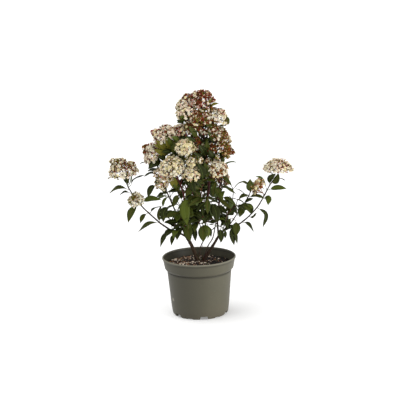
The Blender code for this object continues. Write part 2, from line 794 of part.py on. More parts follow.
def add_leaf(growth, loop, along, spec, place, chance, clear, blade_clear):
    """Grows one leaf from a face of the stem, leaning another way where it would touch."""
    foot = growth.corners(loop)
    root = middle_of(foot)
    out = (foot[1] - foot[0]).cross(foot[3] - foot[0]).normalized()
    length = spec["leaf"] * varied(chance, LEAF_LENGTH_SPREAD) * (1 - LEAF_SHRINK * place)
    width = length * LEAF_WIDTH_SHARE * varied(chance, LEAF_WIDTH_SPREAD)
    tries = []
    for _ in range(LEAF_TRIES):
        lean = math.radians(chance.uniform(*LEAF_LEAN))
        swing = Matrix.Rotation(chance.uniform(-LEAF_SWING, LEAF_SWING), 3, along)
        direction = (swing @ out * math.sin(lean) + along * math.cos(lean)).normalized()
        droop = math.radians(spec["droop"] * varied(chance, LEAF_DROOP_SPREAD))
        roll = chance.uniform(-LEAF_ROLL, LEAF_ROLL)
        tries.append((root, direction, length, width, droop, roll))
    for shape in tries:
        wide = leaf_rings(*shape, grow=CLEAR)
        if clear(*closed_rings([foot, *wide])) and blade_clear(*closed_rings(wide)):
            growth.extend(loop, leaf_rings(*shape))
            return closed_rings([foot, *wide])
    growth.faces.append(tuple(loop))
    return None


def add_head(growth, last_loop, centre, spec, chance, clear):
    """Grows a head on a stem's last ring: a hub, rays that fork, and a cluster on each fork.

    The part of it that would touch another solid is left out.
    """
    radius, spread = spec["radius"], math.radians(spec["spread"])
    axis = Vector(spec["axis"]).normalized()
    rays = max(count for least, count in RAYS if radius >= least)
    room = CLUSTER_SHARE * radius * math.sin(math.pi / rays / 2)

    def on_dome(tilt, flat, reach=1.0):
        tilt = spread * tilt
        return centre + radius * reach * (
            math.sin(tilt) * flat + HEAD_FLATNESS * math.cos(tilt) * axis
        )

    def add_cluster(loop, spot, neck):
        foot = growth.corners(loop)
        heading = spot - middle_of(foot)
        ahead = spot + heading.normalized() * CLEAR
        rings, wide = [], [foot]
        if neck:
            thin = ring_facing(middle_of(foot) + heading * neck, heading, foot[0], NECK_RADIUS, 3)
            rings.append(thin)
            wide.append(thin)
        rings.append(ring_facing(spot, heading, foot[0], room, CLUSTER_SIDES))
        wide.append(ring_facing(ahead, heading, foot[0], room + CLEAR, CLUSTER_SIDES))
        if clear(*closed_rings(wide)):
            growth.extend(loop, rings)
        else:
            growth.faces.append(tuple(loop))

    start = growth.points[last_loop[0]]
    low = growth.add(ring_facing(centre, axis, start, rays * HUB_RADIUS, rays))
    half = Matrix.Rotation(math.pi / rays, 3, axis)
    high = growth.add([
        centre + axis * HUB_RISE + HUB_TAPER * (half @ (p - centre)) for p in growth.corners(low)
    ])
    growth.faces += bridge(last_loop, low)
    for k in range(rays):
        growth.faces.append((low[k], low[(k + 1) % rays], high[k]))
        loop = [low[k], high[k], high[k - 1]]
        foot = growth.corners(loop)
        flat = (foot[0] - centre).normalized()
        out = on_dome(FORK_TILT, flat) - centre
        fork = centre + out * RAY_FORK
        end = [fork + RAY_SHRINK * (p - middle_of(foot)) for p in foot]
        reach = [chance.uniform(*CLUSTER_REACH) for _ in range(3)]
        if not clear(*closed_rings([foot, end])):
            growth.faces.append(tuple(loop))
            continue
        new = growth.add(end)
        growth.faces += bridge(loop, new)
        peak = growth.add([fork + out.normalized() * PEAK])[0]
        turn = Matrix.Rotation(math.pi / rays / 2, 3, axis)
        add_cluster([new[0], new[1], peak], on_dome(OUTER_TILT, turn @ flat, reach[0]), spec["neck"])
        add_cluster([new[1], new[2], peak], on_dome(INNER_TILT, flat, reach[1]), spec["neck"])
        back = turn.inverted() @ flat
        add_cluster([new[2], new[0], peak], on_dome(OUTER_TILT, back, reach[2]), spec["neck"])
    add_cluster(list(high), on_dome(0.0, axis, TOP_REACH), 0.0)


# ---------------------------------------------------------------- sprays
def shoot_mesh(spec, chance, clear, start_gap=0.0):
    """One shoot from its foot to its tip, with its opposite leaves and its flower head."""
    path = smooth_path(spec["path"], SHOOT_STEPS)
    total = lengths_along(path)[-1]
    pairs = spec["pairs"]
    first = min(FIRST_PAIR, total * FIRST_PAIR_SHARE)
    last = total - (LAST_PAIR if spec["head"] else END_PAIR)
    nodes = [first + (last - first) * i / max(1, pairs - 1) for i in range(pairs)]
    if pairs == 1:
        nodes = [total * LONE_PAIR_SHARE]
    spots = [(start_gap, None)]
    for i, node in enumerate(nodes):
        spots += [(node - NODE_HALF, i), (node + NODE_HALF, i)]
    spots.append((total, None))
    for (a, _), (b, _) in list(zip(spots, spots[1:])):
        pieces = int((b - a) / RING_SPACING)
        spots += [(a + (b - a) * k / (pieces + 1), None) for k in range(1, pieces + 1)]
    spots.sort(key=lambda spot: spot[0])

    growth = Growth()
    heading = place_on(path, 0.0)[1]
    side = heading.cross(Vector((0, 1, 0)))
    side = (side if side.length > ASIDE else heading.cross(Vector((1, 0, 0)))).normalized()
    twist, loop, tube = 0.0, None, []
    bases = []
    for distance, node in spots:
        centre, ahead = place_on(path, distance)
        side = heading.rotation_difference(ahead) @ side
        heading = ahead
        if node is not None:
            aim = spec["phase"] + spec["turn"] * node
            twist += (aim - twist + 45) % 90 - 45
        radius = spec["radius"] * (1 - STEM_TAPER * distance / total)
        other = heading.cross(side)
        ring = [
            centre + radius * (math.cos(a) * side + math.sin(a) * other)
            for a in (math.radians(twist - 45 + 90 * k) for k in range(4))
        ]
        new = growth.add(ring)
        tube.append([centre + (p - centre) * (1 + CLEAR / radius) for p in ring])
        closes_node = node is not None and loop is not None and loop[1] == node
        if loop is None:
            growth.faces.append(tuple(reversed(new)))
        else:
            for k in range(4):
                j = (k + 1) % 4
                face = [loop[0][k], loop[0][j], new[j], new[k]]
                turned = round((spec["phase"] + spec["turn"] * (node or 0) - twist) / 90)
                if closes_node and (k - turned) % 2 == 0:
                    bases.append((face, heading.copy(), node))
                else:
                    growth.faces.append(tuple(face))
        loop = (new, node)

    own = []

    def all_clear(points, faces):
        test = BVHTree.FromPolygons(points, faces)
        return clear(points, faces) and not any(test.overlap(tree) for tree in own)

    if spec["head"]:
        axis = Vector(spec["head"]["axis"]).normalized()
        before = len(growth.faces)
        add_head(growth, loop[0], path[-1] + axis * HEAD_RISE, spec["head"], chance, all_clear)
        own.append(BVHTree.FromPolygons(growth.points, growth.faces[before:]))
    else:
        growth.extend(loop[0], [[path[-1] + heading * BUD]])
    stem = BVHTree.FromPolygons(*closed_rings(tube))

    def blade_clear(points, faces):
        return not BVHTree.FromPolygons(points, faces).overlap(stem)

    kept = 0
    for face, along, node in bases:
        shape = add_leaf(
            growth, face, along, spec, node / max(1, pairs), chance, all_clear, blade_clear
        )
        if shape:
            own.append(BVHTree.FromPolygons(*shape))
            kept += 1
    return growth.points, growth.faces, kept


def room_of(spec):
    """The room that a shoot's stem and the hub of its head take up, a little enlarged."""
    path = smooth_path(spec["path"], ROOM_STEPS)
    radii = [spec["radius"] + CLEAR] * len(path)
    if spec["head"]:
        axis = Vector(spec["head"]["axis"]).normalized()
        path.append(path[-1] + axis * (HEAD_RISE + HUB_RISE))
        radii.append(HUB_ROOM)
    return skin(rings_along(path, radii, 4))


def make_spray(name, shoots, material, blocked, limbs, seed):
    """Grows one spray, leaves out what would touch another solid, and fuses the rest."""
    chance = random.Random(seed)

    def clear(points, faces):
        test = BVHTree.FromPolygons(points, faces)
        return not any(test.overlap(tree) for tree in blocked)

    points, faces, kept = shoot_mesh(shoots[0], chance, clear, GAP)
    spray = add_object(name, points, faces, material)
    cut_away(spray, limb_cutters(spray, limbs))

    fused = bpy.data.collections.new(name + "_pieces")
    bpy.context.scene.collection.children.link(fused)
    for spec in shoots[1:]:
        if not clear(*room_of(spec)):
            print("left out a shoot of", name)
            continue
        points, faces, more = shoot_mesh(spec, chance, clear)
        kept += more
        piece = add_object(name + "_piece", points, faces)
        bpy.context.scene.collection.objects.unlink(piece)
        fused.objects.link(piece)

    if fused.objects:
        union = spray.modifiers.new("fuse", "BOOLEAN")
        union.operation = "UNION"
        union.operand_type = "COLLECTION"
        union.collection = fused
        apply_modifiers(spray)
    for piece in list(fused.objects):
        remove_object(piece)
    bpy.data.collections.remove(fused)
    keep_largest(spray)
    wanted = 2 * sum(spec["pairs"] for spec in shoots)
    print(name, "leaves", kept, "of", wanted, "triangles", len(spray.data.polygons))
    return spray


def main():
    for obj in list(bpy.data.objects):
        bpy.data.objects.remove(obj)
    bark, foliage, blossom = finish("bark"), finish("foliage"), finish("blossom")
    pot = make_pot(finish("pot_plastic"))
    soil = make_soil(finish("compost"))
    placed = [pot, soil]

    limbs = []
    for name, spec in STEMS.items():
        placed.append(make_limb(name, spec, bark, STEM_FLARE, []))
        limbs.append((spec, STEM_FLARE))
    for name, spec in BOUGHS.items():
        placed.append(make_limb(name, spec, bark, 0.0, limbs))
        limbs.append((spec, 0.0))

    solid = [tree_of(obj) for obj in placed]
    rooms = {
        name: [BVHTree.FromPolygons(*room_of(spec)) for spec in shoots]
        for name, shoots in SPRAYS.items()
    }
    for seed, (name, shoots) in enumerate(SPRAYS.items()):
        del rooms[name]
        blocked = solid + [tree for others in rooms.values() for tree in others]
        material = blossom if any(s["head"] for s in shoots) else foliage
        spray = make_spray(name, shoots, material, blocked, limbs, seed)
        placed.append(spray)
        solid.append(tree_of(spray))

    for obj in placed:
        obj.data.shade_smooth()
        obj.data.set_sharp_from_angle(angle=math.radians(SMOOTH_DEG))


main()
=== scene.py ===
import json
import math
import random

import bmesh
import bpy
import numpy as np
from mathutils import Matrix, Vector, noise
from mathutils.kdtree import KDTree

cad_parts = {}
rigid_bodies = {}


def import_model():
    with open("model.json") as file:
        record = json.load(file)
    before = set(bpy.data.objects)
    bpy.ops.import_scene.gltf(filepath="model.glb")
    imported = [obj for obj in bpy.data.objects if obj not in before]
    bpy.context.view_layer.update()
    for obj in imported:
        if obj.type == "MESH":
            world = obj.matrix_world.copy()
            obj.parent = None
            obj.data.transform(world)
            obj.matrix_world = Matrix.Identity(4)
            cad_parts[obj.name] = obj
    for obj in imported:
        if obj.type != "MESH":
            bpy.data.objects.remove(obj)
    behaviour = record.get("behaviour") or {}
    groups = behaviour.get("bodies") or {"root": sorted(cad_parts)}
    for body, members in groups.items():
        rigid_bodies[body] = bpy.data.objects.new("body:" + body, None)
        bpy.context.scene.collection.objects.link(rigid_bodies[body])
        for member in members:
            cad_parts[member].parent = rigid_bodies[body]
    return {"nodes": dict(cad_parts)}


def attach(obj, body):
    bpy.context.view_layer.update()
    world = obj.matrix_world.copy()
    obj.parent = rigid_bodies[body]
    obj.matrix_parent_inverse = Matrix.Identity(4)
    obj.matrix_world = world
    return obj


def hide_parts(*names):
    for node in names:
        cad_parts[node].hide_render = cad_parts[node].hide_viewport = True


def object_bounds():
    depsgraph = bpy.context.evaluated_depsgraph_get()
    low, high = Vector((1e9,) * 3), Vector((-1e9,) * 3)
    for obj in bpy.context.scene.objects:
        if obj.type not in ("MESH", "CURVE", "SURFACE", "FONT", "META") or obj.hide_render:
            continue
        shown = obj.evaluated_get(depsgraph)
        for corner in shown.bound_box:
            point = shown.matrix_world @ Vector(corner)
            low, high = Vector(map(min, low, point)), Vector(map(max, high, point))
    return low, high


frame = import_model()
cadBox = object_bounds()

# Metres, +Z up, unless a note says mm. The pot stands on z = 0 round the Z axis, and -Y is the shrub's
# front. Colours are given as they are seen on a screen, 0 to 255.
scene = bpy.context.scene
white = (1.0, 1.0, 1.0, 1.0)


def inMetres(values):
    return tuple(value / 1000 for value in values)


# A colour turned into the light that shaders work with.
def paint(levels):
    shares = [level / 255 for level in levels]
    light = [s / 12.92 if s <= 0.04045 else ((s + 0.055) / 1.055) ** 2.4 for s in shares]
    return (*light, 1.0)


# One output of a shader node. An expression on it adds the Math nodes that work it out.
class Flow:
    def __init__(self, finish, socket):
        self.finish = finish
        self.socket = socket

    def math(self, operation, *values):
        return self.finish.node("Math", {"operation": operation}, dict(enumerate(values)))

    def __add__(self, other):
        return self.math("ADD", self, other)

    def __sub__(self, other):
        return self.math("SUBTRACT", self, other)

    def __mul__(self, other):
        return self.math("MULTIPLY", self, other)

    def __rsub__(self, other):
        return self.math("SUBTRACT", other, self)

    __radd__ = __add__
    __rmul__ = __mul__


# A material in the making: its Principled shader, and the nodes that feed it.
class Finish:
    def __init__(self, name, levels, roughness, specular=0.5):
        self.material = bpy.data.materials.new(name)
        self.material.use_nodes = True
        self.tree = self.material.node_tree
        self.shader = self.tree.nodes["Principled BSDF"]
        self.give("Base Color", paint(levels))
        self.give("Roughness", roughness)
        self.give("Specular IOR Level", specular)

    def give(self, socketName, value):
        self.feed(self.shader.inputs[socketName], value)

    def feed(self, socket, value):
        if isinstance(value, Flow):
            self.tree.links.new(value.socket, socket)
        else:
            socket.default_value = value

    def node(self, kind, settings, inputs, output=0):
        made = self.tree.nodes.new("ShaderNode" + kind)
        for name, value in settings.items():
            setattr(made, name, value)
        for name, value in inputs.items():
            self.feed(made.inputs[name], value)
        return Flow(self, made.outputs[output])

    def places(self):
        return self.node("TexCoord", {}, {}, "Object")

    def grain(self, scale, detail=3.0, roughness=0.55, stretch=None):
        where = self.places()
        if stretch:
            where = self.node("Mapping", {}, {"Vector": where, "Scale": stretch})
        inputs = {"Vector": where, "Scale": scale, "Detail": detail, "Roughness": roughness}
        return self.node("TexNoise", {}, inputs)

    def dots(self, scale):
        return self.node("TexVoronoi", {}, {"Vector": self.places(), "Scale": scale}, "Distance")

    # 0 below the low value and 1 above the high one
    def band(self, value, low, high):
        ramp = self.node("ValToRGB", {}, {"Fac": value})
        for element, place, shade in zip(ramp.socket.node.color_ramp.elements, (low, high), (0.0, 1.0)):
            element.position = place
            element.color = (shade, shade, shade, 1.0)
        return ramp

    def mix(self, share, first, second):
        return self.node("Mix", {"data_type": "RGBA"}, {0: share, 6: first, 7: second}, 2)

    def bump(self, height, strength, depth):
        inputs = {"Height": height, "Strength": strength, "Distance": depth}
        self.give("Normal", self.node("Bump", {}, inputs))


# A plain colour, with a fine relief where one is asked for.
def plainFinish(name, levels, roughness=0.6, relief=0.0, scale=900.0, specular=0.5):
    finish = Finish(name, levels, roughness, specular)
    if relief:
        finish.bump(finish.grain(scale), 0.5, relief)
    return finish


view = {
    "place": (0.007, -2.8, 0.905),
    "lookDownDeg": 12.25,
    "turnDeg": -1.7,
    "lens": 101.07,
    "sensor": 36.0,
    "steps": 400,  # places in the square view are counted in this many steps, across and down
}
studio = {
    "floorSize": 2400.0,
    "floorColour": (229, 229, 229),
    "floorGlow": 0.24,  # light of the floor's own, which keeps it pale and even
    "skyStrength": 0.72,
    "keyPlace": (-0.50, 0.10, 1.5),  # a far light, so that only its direction counts
    "keySoftDeg": 55.0,
    "keyStrength": 1.7,
    "lampPlace": (1.8, -1.1, 0.5),
    "lampAim": (0.0, 0.0, 0.1),
    "lampSize": 1.0,
    "lampWatts": 21.0,
}


def addObject(name, data):
    made = bpy.data.objects.new(name, data)
    scene.collection.objects.link(made)
    return made


def cameraTurn():
    tilt = Matrix.Rotation(math.pi / 2 - math.radians(view["lookDownDeg"]), 3, "X")
    return tilt @ Matrix.Rotation(math.radians(view["turnDeg"]), 3, "Z")


# The point that the camera sees at a place in its view, this many mm behind the pot's axis.
def seenPoint(across, down, depth):
    half = view["steps"] / 2
    ahead = view["steps"] * view["lens"] / view["sensor"]
    aim = cameraTurn() @ Vector((across - half, half - down, -ahead))
    place = Vector(view["place"])
    point = place + aim * ((depth / 1000 - place.y) / aim.y)
    return Vector(inMetres(round(1000 * c) for c in point))


def makeCamera():
    camera = bpy.data.cameras.new("camera")
    camera.sensor_width = view["sensor"]
    camera.lens = view["lens"]
    camera.clip_start = 0.05
    camera.clip_end = 2 * studio["floorSize"]
    scene.camera = addObject("camera", camera)
    scene.camera.matrix_world = Matrix.Translation(view["place"]) @ cameraTurn().to_4x4()


def addLight(name, kind, place, aim, **settings):
    light = bpy.data.lights.new(name, kind)
    for setting, value in settings.items():
        setattr(light, setting, value)
    placed = addObject(name, light)
    placed.location = place
    placed.rotation_euler = (Vector(place) - Vector(aim)).to_track_quat("Z", "Y").to_euler()


def makeStudio():
    half = studio["floorSize"] / 2
    mesh = bpy.data.meshes.new("floor")
    corners = [(-half, -half, 0), (half, -half, 0), (half, half, 0), (-half, half, 0)]
    mesh.from_pydata(corners, [], [(0, 1, 2, 3)])
    finish = Finish("floorFinish", studio["floorColour"], 0.9)
    finish.give("Emission Color", white)
    finish.give("Emission Strength", studio["floorGlow"])
    mesh.materials.append(finish.material)
    floor = addObject("floor", mesh)
    world = bpy.data.worlds.new("sky")
    world.use_nodes = True
    background = world.node_tree.nodes["Background"]
    background.inputs["Color"].default_value = white
    background.inputs["Strength"].default_value = studio["skyStrength"]
    scene.world = world
    scene.view_settings.view_transform = "Standard"
    addLight(
        "key", "SUN", studio["keyPlace"], (0, 0, 0),
        angle=math.radians(studio["keySoftDeg"]), energy=studio["keyStrength"],
    )
    addLight(
        "rightSoftbox", "AREA", studio["lampPlace"], studio["lampAim"],
        shape="DISK", size=studio["lampSize"], energy=studio["lampWatts"],
    )


makeCamera()
makeStudio()
print("camera, floor and light")


# Many small shapes gathered into one piece. Each face keeps the number of its finish.
class Heap:
    def __init__(self, name, finishes):
        self.name = name
        self.finishes = finishes
        self.points, self.corners, self.sizes, self.slots = [], [], [], []
        self.count = 0

    def gather(self, points, corners, sizes, slots):
        self.points.append(points)
        self.corners.append(corners + self.count)
        self.sizes.append(sizes)
        self.slots.append(np.broadcast_to(np.array(slots, int), len(sizes)))
        self.count += len(points)

    def add(self, points, faces, slots=0):
        corners = np.array([i for face in faces for i in face], int)
        sizes = np.array([len(face) for face in faces], int)
        self.gather(np.array(points, float).reshape(-1, 3), corners, sizes, slots)

    # One shape at many places: each place is a 3 by 4 matrix, and each copy has its own finishes.
    def copies(self, shape, places, finishRows):
        shapePoints, faces, kinds = shape
        base = np.c_[np.array(shapePoints, float), np.ones(len(shapePoints))]
        moved = np.einsum("mij,nj->mni", np.array(places, float), base)
        corners = np.array([i for face in faces for i in face], int)
        starts = len(base) * np.arange(len(places))
        self.gather(
            moved.reshape(-1, 3), (corners[None, :] + starts[:, None]).ravel(),
            np.tile([len(face) for face in faces], len(places)),
            np.array(finishRows, int)[:, kinds].ravel(),
        )

    def make(self, replaced=(), slot=None, sharpDeg=None):
        mesh = bpy.data.meshes.new(self.name)
        points, corners = np.concatenate(self.points), np.concatenate(self.corners)
        sizes, slots = np.concatenate(self.sizes), np.concatenate(self.slots)
        starts = np.concatenate([[0], np.cumsum(sizes)[:-1]])
        mesh.vertices.add(len(points))
        mesh.vertices.foreach_set("co", points.astype(np.float32).ravel())
        mesh.loops.add(len(corners))
        mesh.loops.foreach_set("vertex_index", corners.astype(np.int32))
        mesh.polygons.add(len(sizes))
        mesh.polygons.foreach_set("loop_start", starts.astype(np.int32))
        mesh.polygons.foreach_set("material_index", slots.astype(np.int32))
        for finish in self.finishes:
            mesh.materials.append(finish.material)
        mesh.update(calc_edges=True)
        mesh.validate()
        addPiece(self.name, mesh, replaced, sharpDeg)


def addPiece(name, mesh, replaced, sharpDeg=None):
    mesh.shade_smooth()
    if sharpDeg:
        mesh.set_sharp_from_angle(angle=math.radians(sharpDeg))
    piece = addObject(name, mesh)
    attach(piece, "root")
    if replaced:
        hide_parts(*replaced)
    print("made", name, "with", len(mesh.polygons), "faces")


# Points on a smooth curve through the given ones.
def smoothPath(points, steps):
    knots = [Vector(p) for p in points]
    ends = [2 * knots[0] - knots[1], *knots, 2 * knots[-1] - knots[-2]]
    path = []
    for a, b, c, d in zip(ends, ends[1:], ends[2:], ends[3:]):
        for t in (i / steps for i in range(steps)):
            path.append(
                0.5 * (2 * b + (c - a) * t + (2 * a - 5 * b + 4 * c - d) * t * t
                       + (3 * b - a - 3 * c + d) * t * t * t)
            )
    return path + [knots[-1]]


def lengthsAlong(path):
    total = [0.0]
    for a, b in zip(path, path[1:]):
        total.append(total[-1] + (b - a).length)
    return total


# The point and direction at this distance along the path.
def placeOn(path, distance):
    along = lengthsAlong(path)
    i = next((i for i in range(len(path) - 2) if distance <= along[i + 1]), len(path) - 2)
    share = (distance - along[i]) / (along[i + 1] - along[i])
    return path[i].lerp(path[i + 1], share), (path[i + 1] - path[i]).normalized()


# A path walked in even steps, and how far along each point lies.
def evenPath(points, spacing):
    fine = smoothPath(points, 8)
    total = lengthsAlong(fine)[-1]
    count = max(3, round(total / spacing))
    distances = [total * i / count for i in range(count + 1)]
    return [placeOn(fine, distance)[0] for distance in distances], distances


# The direction at this angle in radians, from one direction toward another that is square to it.
def around(side, other, angle):
    return math.cos(angle) * side + math.sin(angle) * other


# A closed tube along a path, with a pointed tip. The relief gives each ring's points their own radius.
def tube(path, radii, sides, relief=None):
    direction = (path[1] - path[0]).normalized()
    side = direction.orthogonal().normalized()
    points, faces = [], []
    for i, centre in enumerate(path):
        ahead = (path[min(i + 1, len(path) - 1)] - path[max(i - 1, 0)]).normalized()
        side = direction.rotation_difference(ahead) @ side
        direction = ahead
        other = direction.cross(side)
        for k in range(sides):
            out = around(side, other, math.tau * k / sides)
            radius = radii[i] * (relief(centre + radii[i] * out, i) if relief else 1.0)
            points.append(centre + radius * out)
    for i in range(len(path) - 1):
        for k in range(sides):
            a, b = i * sides + k, i * sides + (k + 1) % sides
            faces.append((a, b, b + sides, a + sides))
    foot, tip, last = len(points), len(points) + 1, len(points) - sides
    for k in range(sides):
        faces += [(foot, (k + 1) % sides, k), (tip, last + k, last + (k + 1) % sides)]
    return points + [path[0], path[-1] + direction * radii[-1] * 0.5], faces


# A skin turned about Z from an outline of (radius, height) points, which rises or falls outside.
def turned(outline, sides, rises=True):
    points, faces, rows = [], [], []
    for radius, height in outline:
        start, count = len(points), sides if radius else 1
        rows.append([start + k % count for k in range(sides)])
        for angle in (math.tau * k / sides for k in range(count)):
            points.append((radius * math.cos(angle), radius * math.sin(angle), height))
    for low, high in zip(rows, rows[1:]):
        for k in range(sides):
            j = (k + 1) % sides
            face = (low[k], low[j], high[j], high[k]) if rises else (low[k], high[k], high[j], low[j])
            faces.append(tuple(dict.fromkeys(face)))
    return points, faces


pot = {
    "sides": 144,
    "footRadius": 0.069,
    "footRing": 0.0045,
    "padRadius": 0.042,
    "padSlope": 0.002,
    "floorRise": 0.0078,
    "floor": 0.002,
    "notches": 6,
    "notchFirstDeg": 7.0,
    "deepNotch": (0.0230, 0.0175, 0.0082),  # width at the ground and at its top, height
    "shallowNotch": (0.0150, 0.0120, 0.0024),
    "notchBelow": 0.002,
    "drainHole": 0.0045,
    "drainHoleCircle": 0.054,
    "drainHoleSides": 24,
    "roundSteps": 5,
    "longestRound": 0.45,  # the share of an edge that a rounded corner can take
    "sharpDeg": 32,
    "grey": (85, 82, 67),
    "scuffPlace": (-0.0695, -0.033, 0.0445),
    "dustBelow": 0.045,
    # (radius, height) up the outside wall and down the inside one. The third number rounds the corner.
    "outside": [
        (0.0690, 0.0, 0.0006), (0.0723, 0.004, 0.002), (0.0752, 0.026, 0.004), (0.0830, 0.1138, 0.0006),
        (0.0821, 0.1148, 0.0006), (0.0821, 0.1162, 0.0006), (0.0846, 0.1168, 0.0005),
        (0.0887, 0.1212, 0.0016), (0.0930, 0.1440, 0.0008), (0.0950, 0.1456, 0.0008),
        (0.0950, 0.1489, 0.0008), (0.0938, 0.1500, 0.0005),
    ],
    "inside": [
        (0.0922, 0.1500, 0.0005), (0.0868, 0.1218, 0.002), (0.0812, 0.1170, 0.002),
        (0.0734, 0.026, 0.002), (0.0694, 0.0098, 0.001),
    ],
}
# What colours the plastic, one over the other: from where to where it comes in, its strength and tint. Four
# layers are painted light and shade: the darker left side, the pale line on the lip, and the dark lines
# under the lip and in the groove under the collar.
potTints = {
    "light": (0.35, 0.65, 1.0, (90, 87, 71)),
    "streaks": (0.45, 0.75, 0.35, (78, 75, 61)),
    "dust": (0.30, 0.75, 0.35, (104, 96, 80)),
    "marks": (0.62, 0.70, 0.22, (124, 122, 108)),
    # painted shade: the left side of the pot turns darker, as if less light fell on it
    "paintedLeftShade": (0.050, 0.165, 0.66, (56, 54, 43)),
    # painted highlight: a pale line along the top of the rim's lip
    "paintedRimHighlight": (0.1474, 0.1492, 0.60, (150, 146, 128)),
    # painted shadow: a dark line under the rim's lip
    "paintedUnderRimShadow": (0.1425, 0.1444, 0.55, (24, 22, 17)),
    # painted shade: a dark line in the groove under the collar
    "groove": (0.1122, 0.1140, 0.92, (24, 22, 17)),
    "scuff": (0.0030, 0.0052, 0.85, (176, 168, 150)),
}
# where the painted shadow under the lip and the painted shade in the groove fade out
paintedUnderRimShadowEnd = (0.1456, 0.1466)
paintedGrooveShadeEnd = (0.1165, 0.1174)


# An outline with its corners rounded.
def rounded(outline):
    smooth, steps = [], pot["roundSteps"]
    for i, (radius, height, soft) in enumerate(outline):
        if i in (0, len(outline) - 1):
            smooth.append((radius, height))
            continue
        here = Vector((radius, height))
        start, end = (
            here + (Vector(outline[j][:2]) - here).normalized()
            * min(soft, (Vector(outline[j][:2]) - here).length * pot["longestRound"])
            for j in (i - 1, i + 1)
        )
        for t in (k / steps for k in range(steps + 1)):
            point = start * (1 - t) ** 2 + here * 2 * t * (1 - t) + end * t * t
            smooth.append((point.x, point.y))
    return smooth


def cutterObject(points, faces):
    mesh = bpy.data.meshes.new("cutter")
    mesh.from_pydata([tuple(p) for p in points], [], faces)
    build = bmesh.new()
    build.from_mesh(mesh)
    bmesh.ops.recalc_face_normals(build, faces=build.faces[:])
    build.to_mesh(mesh)
    build.free()
    return bpy.data.objects.new("cutter", mesh)


def notchCutter(turn, size):
    low, high, height = size
    below = -pot["notchBelow"]
    points = []
    for y in (3 * pot["footRing"] - pot["footRadius"], -pot["footRadius"] - 2 * pot["footRing"]):
        for x, z in ((-low, below), (low, below), (high, height), (-high, height)):
            points.append(turn @ Vector((x / 2, y, z)))
    faces = [(0, 1, 2, 3), (7, 6, 5, 4), (0, 4, 5, 1), (1, 5, 6, 2), (2, 6, 7, 3), (3, 7, 4, 0)]
    return cutterObject(points, faces)


def drainCutter(turn):
    centre = turn @ Vector((0, -pot["drainHoleCircle"], 0))
    path = [centre, centre + Vector((0, 0, 2 * pot["floorRise"]))]
    return cutterObject(*tube(path, [pot["drainHole"]] * 2, pot["drainHoleSides"]))


def makePotFinish():
    plastic = Finish("potPlastic", pot["grey"], 0.5, 0.3)
    cloud = plastic.grain(9.0, 4.0)
    places = plastic.places()
    across, height = (
        plastic.node("SeparateXYZ", {}, {"Vector": places}, axis) for axis in ("X", "Z")
    )
    low = plastic.node("MapRange", {}, {
        "Value": height, "From Min": pot["dustBelow"], "From Max": 0.0, "To Min": 0.0, "To Max": 0.42,
    })
    fromScuff = plastic.node(
        "VectorMath", {"operation": "DISTANCE"}, {0: places, 1: pot["scuffPlace"]}, "Value"
    )

    def shows(name, value):
        return plastic.band(value, *potTints[name][:2])

    # painted shade, 1 on the pot's left side and falling to 0 past the middle
    shade = 1 - shows("paintedLeftShade", across + 0.1)
    layers = {
        "light": shows("light", cloud),
        "streaks": shows("streaks", plastic.grain(30.0, 3.0, 0.6, (1.0, 1.0, 0.12))),
        "dust": shows("dust", cloud * 0.6 + low),
        "marks": shows("marks", plastic.grain(140.0, 5.0, 0.7)),
        "paintedLeftShade": shade * shade * (3 - 2 * shade),
        # painted highlight along the lip
        "paintedRimHighlight": shows("paintedRimHighlight", height),
        # painted shadow under the lip
        "paintedUnderRimShadow": shows("paintedUnderRimShadow", height) * (1 - plastic.band(height, *paintedUnderRimShadowEnd)),
        # painted shade in the groove under the collar
        "groove": shows("groove", height) * (1 - plastic.band(height, *paintedGrooveShadeEnd)),
        "scuff": 1 - shows("scuff", fromScuff + plastic.grain(420.0) * 0.004),
    }
    tone = paint(pot["grey"])
    for name, share in layers.items():
        strength, tint = potTints[name][2:]
        tone = plastic.mix(share * strength, tone, paint(tint))
    plastic.give("Base Color", tone)
    plastic.give("Roughness", cloud * 0.20 + 0.40)
    plastic.bump(plastic.grain(1400.0, 2.0, 0.6) * 0.6 + plastic.grain(260.0, 2.0) * 0.4, 0.25, 0.0004)
    return plastic


def makePot():
    pad, slope, ring = pot["padRadius"], pot["padSlope"], pot["footRadius"] - pot["footRing"]
    rise, floor = pot["floorRise"], pot["floor"]
    outline = [
        (0, 0), (pad, 0), (pad + slope, rise), (ring, rise), (ring, 0),
        *rounded(pot["outside"]), *rounded(pot["inside"]),
        (pad, rise + floor), (pad - slope, floor), (0, floor),
    ]
    body = cutterObject(*turned(outline, pot["sides"]))
    scene.collection.objects.link(body)
    cutters = bpy.data.collections.new("cutters")
    scene.collection.children.link(cutters)
    step = 360 / pot["notches"]
    for k in range(pot["notches"]):
        angle = pot["notchFirstDeg"] + k * step
        here, between = (
            Matrix.Rotation(math.radians(degrees), 3, "Z") for degrees in (angle, angle - step / 2)
        )
        cutters.objects.link(notchCutter(here, pot["deepNotch"]))
        cutters.objects.link(notchCutter(between, pot["shallowNotch"]))
        cutters.objects.link(drainCutter(between))
    cut = body.modifiers.new("cut", "BOOLEAN")
    cut.operation = "DIFFERENCE"
    cut.operand_type = "COLLECTION"
    cut.collection = cutters
    graph = bpy.context.evaluated_depsgraph_get()
    mesh = bpy.data.meshes.new_from_object(body.evaluated_get(graph))
    for leftover in (body, *cutters.objects):
        bpy.data.objects.remove(leftover)
    bpy.data.collections.remove(cutters)
    mesh.name = "nursery_pot"
    mesh.materials.clear()
    mesh.materials.append(makePotFinish().material)
    addPiece("nursery_pot", mesh, ["pot"], pot["sharpDeg"])


makePot()
print("pot, with its notches and drain holes")


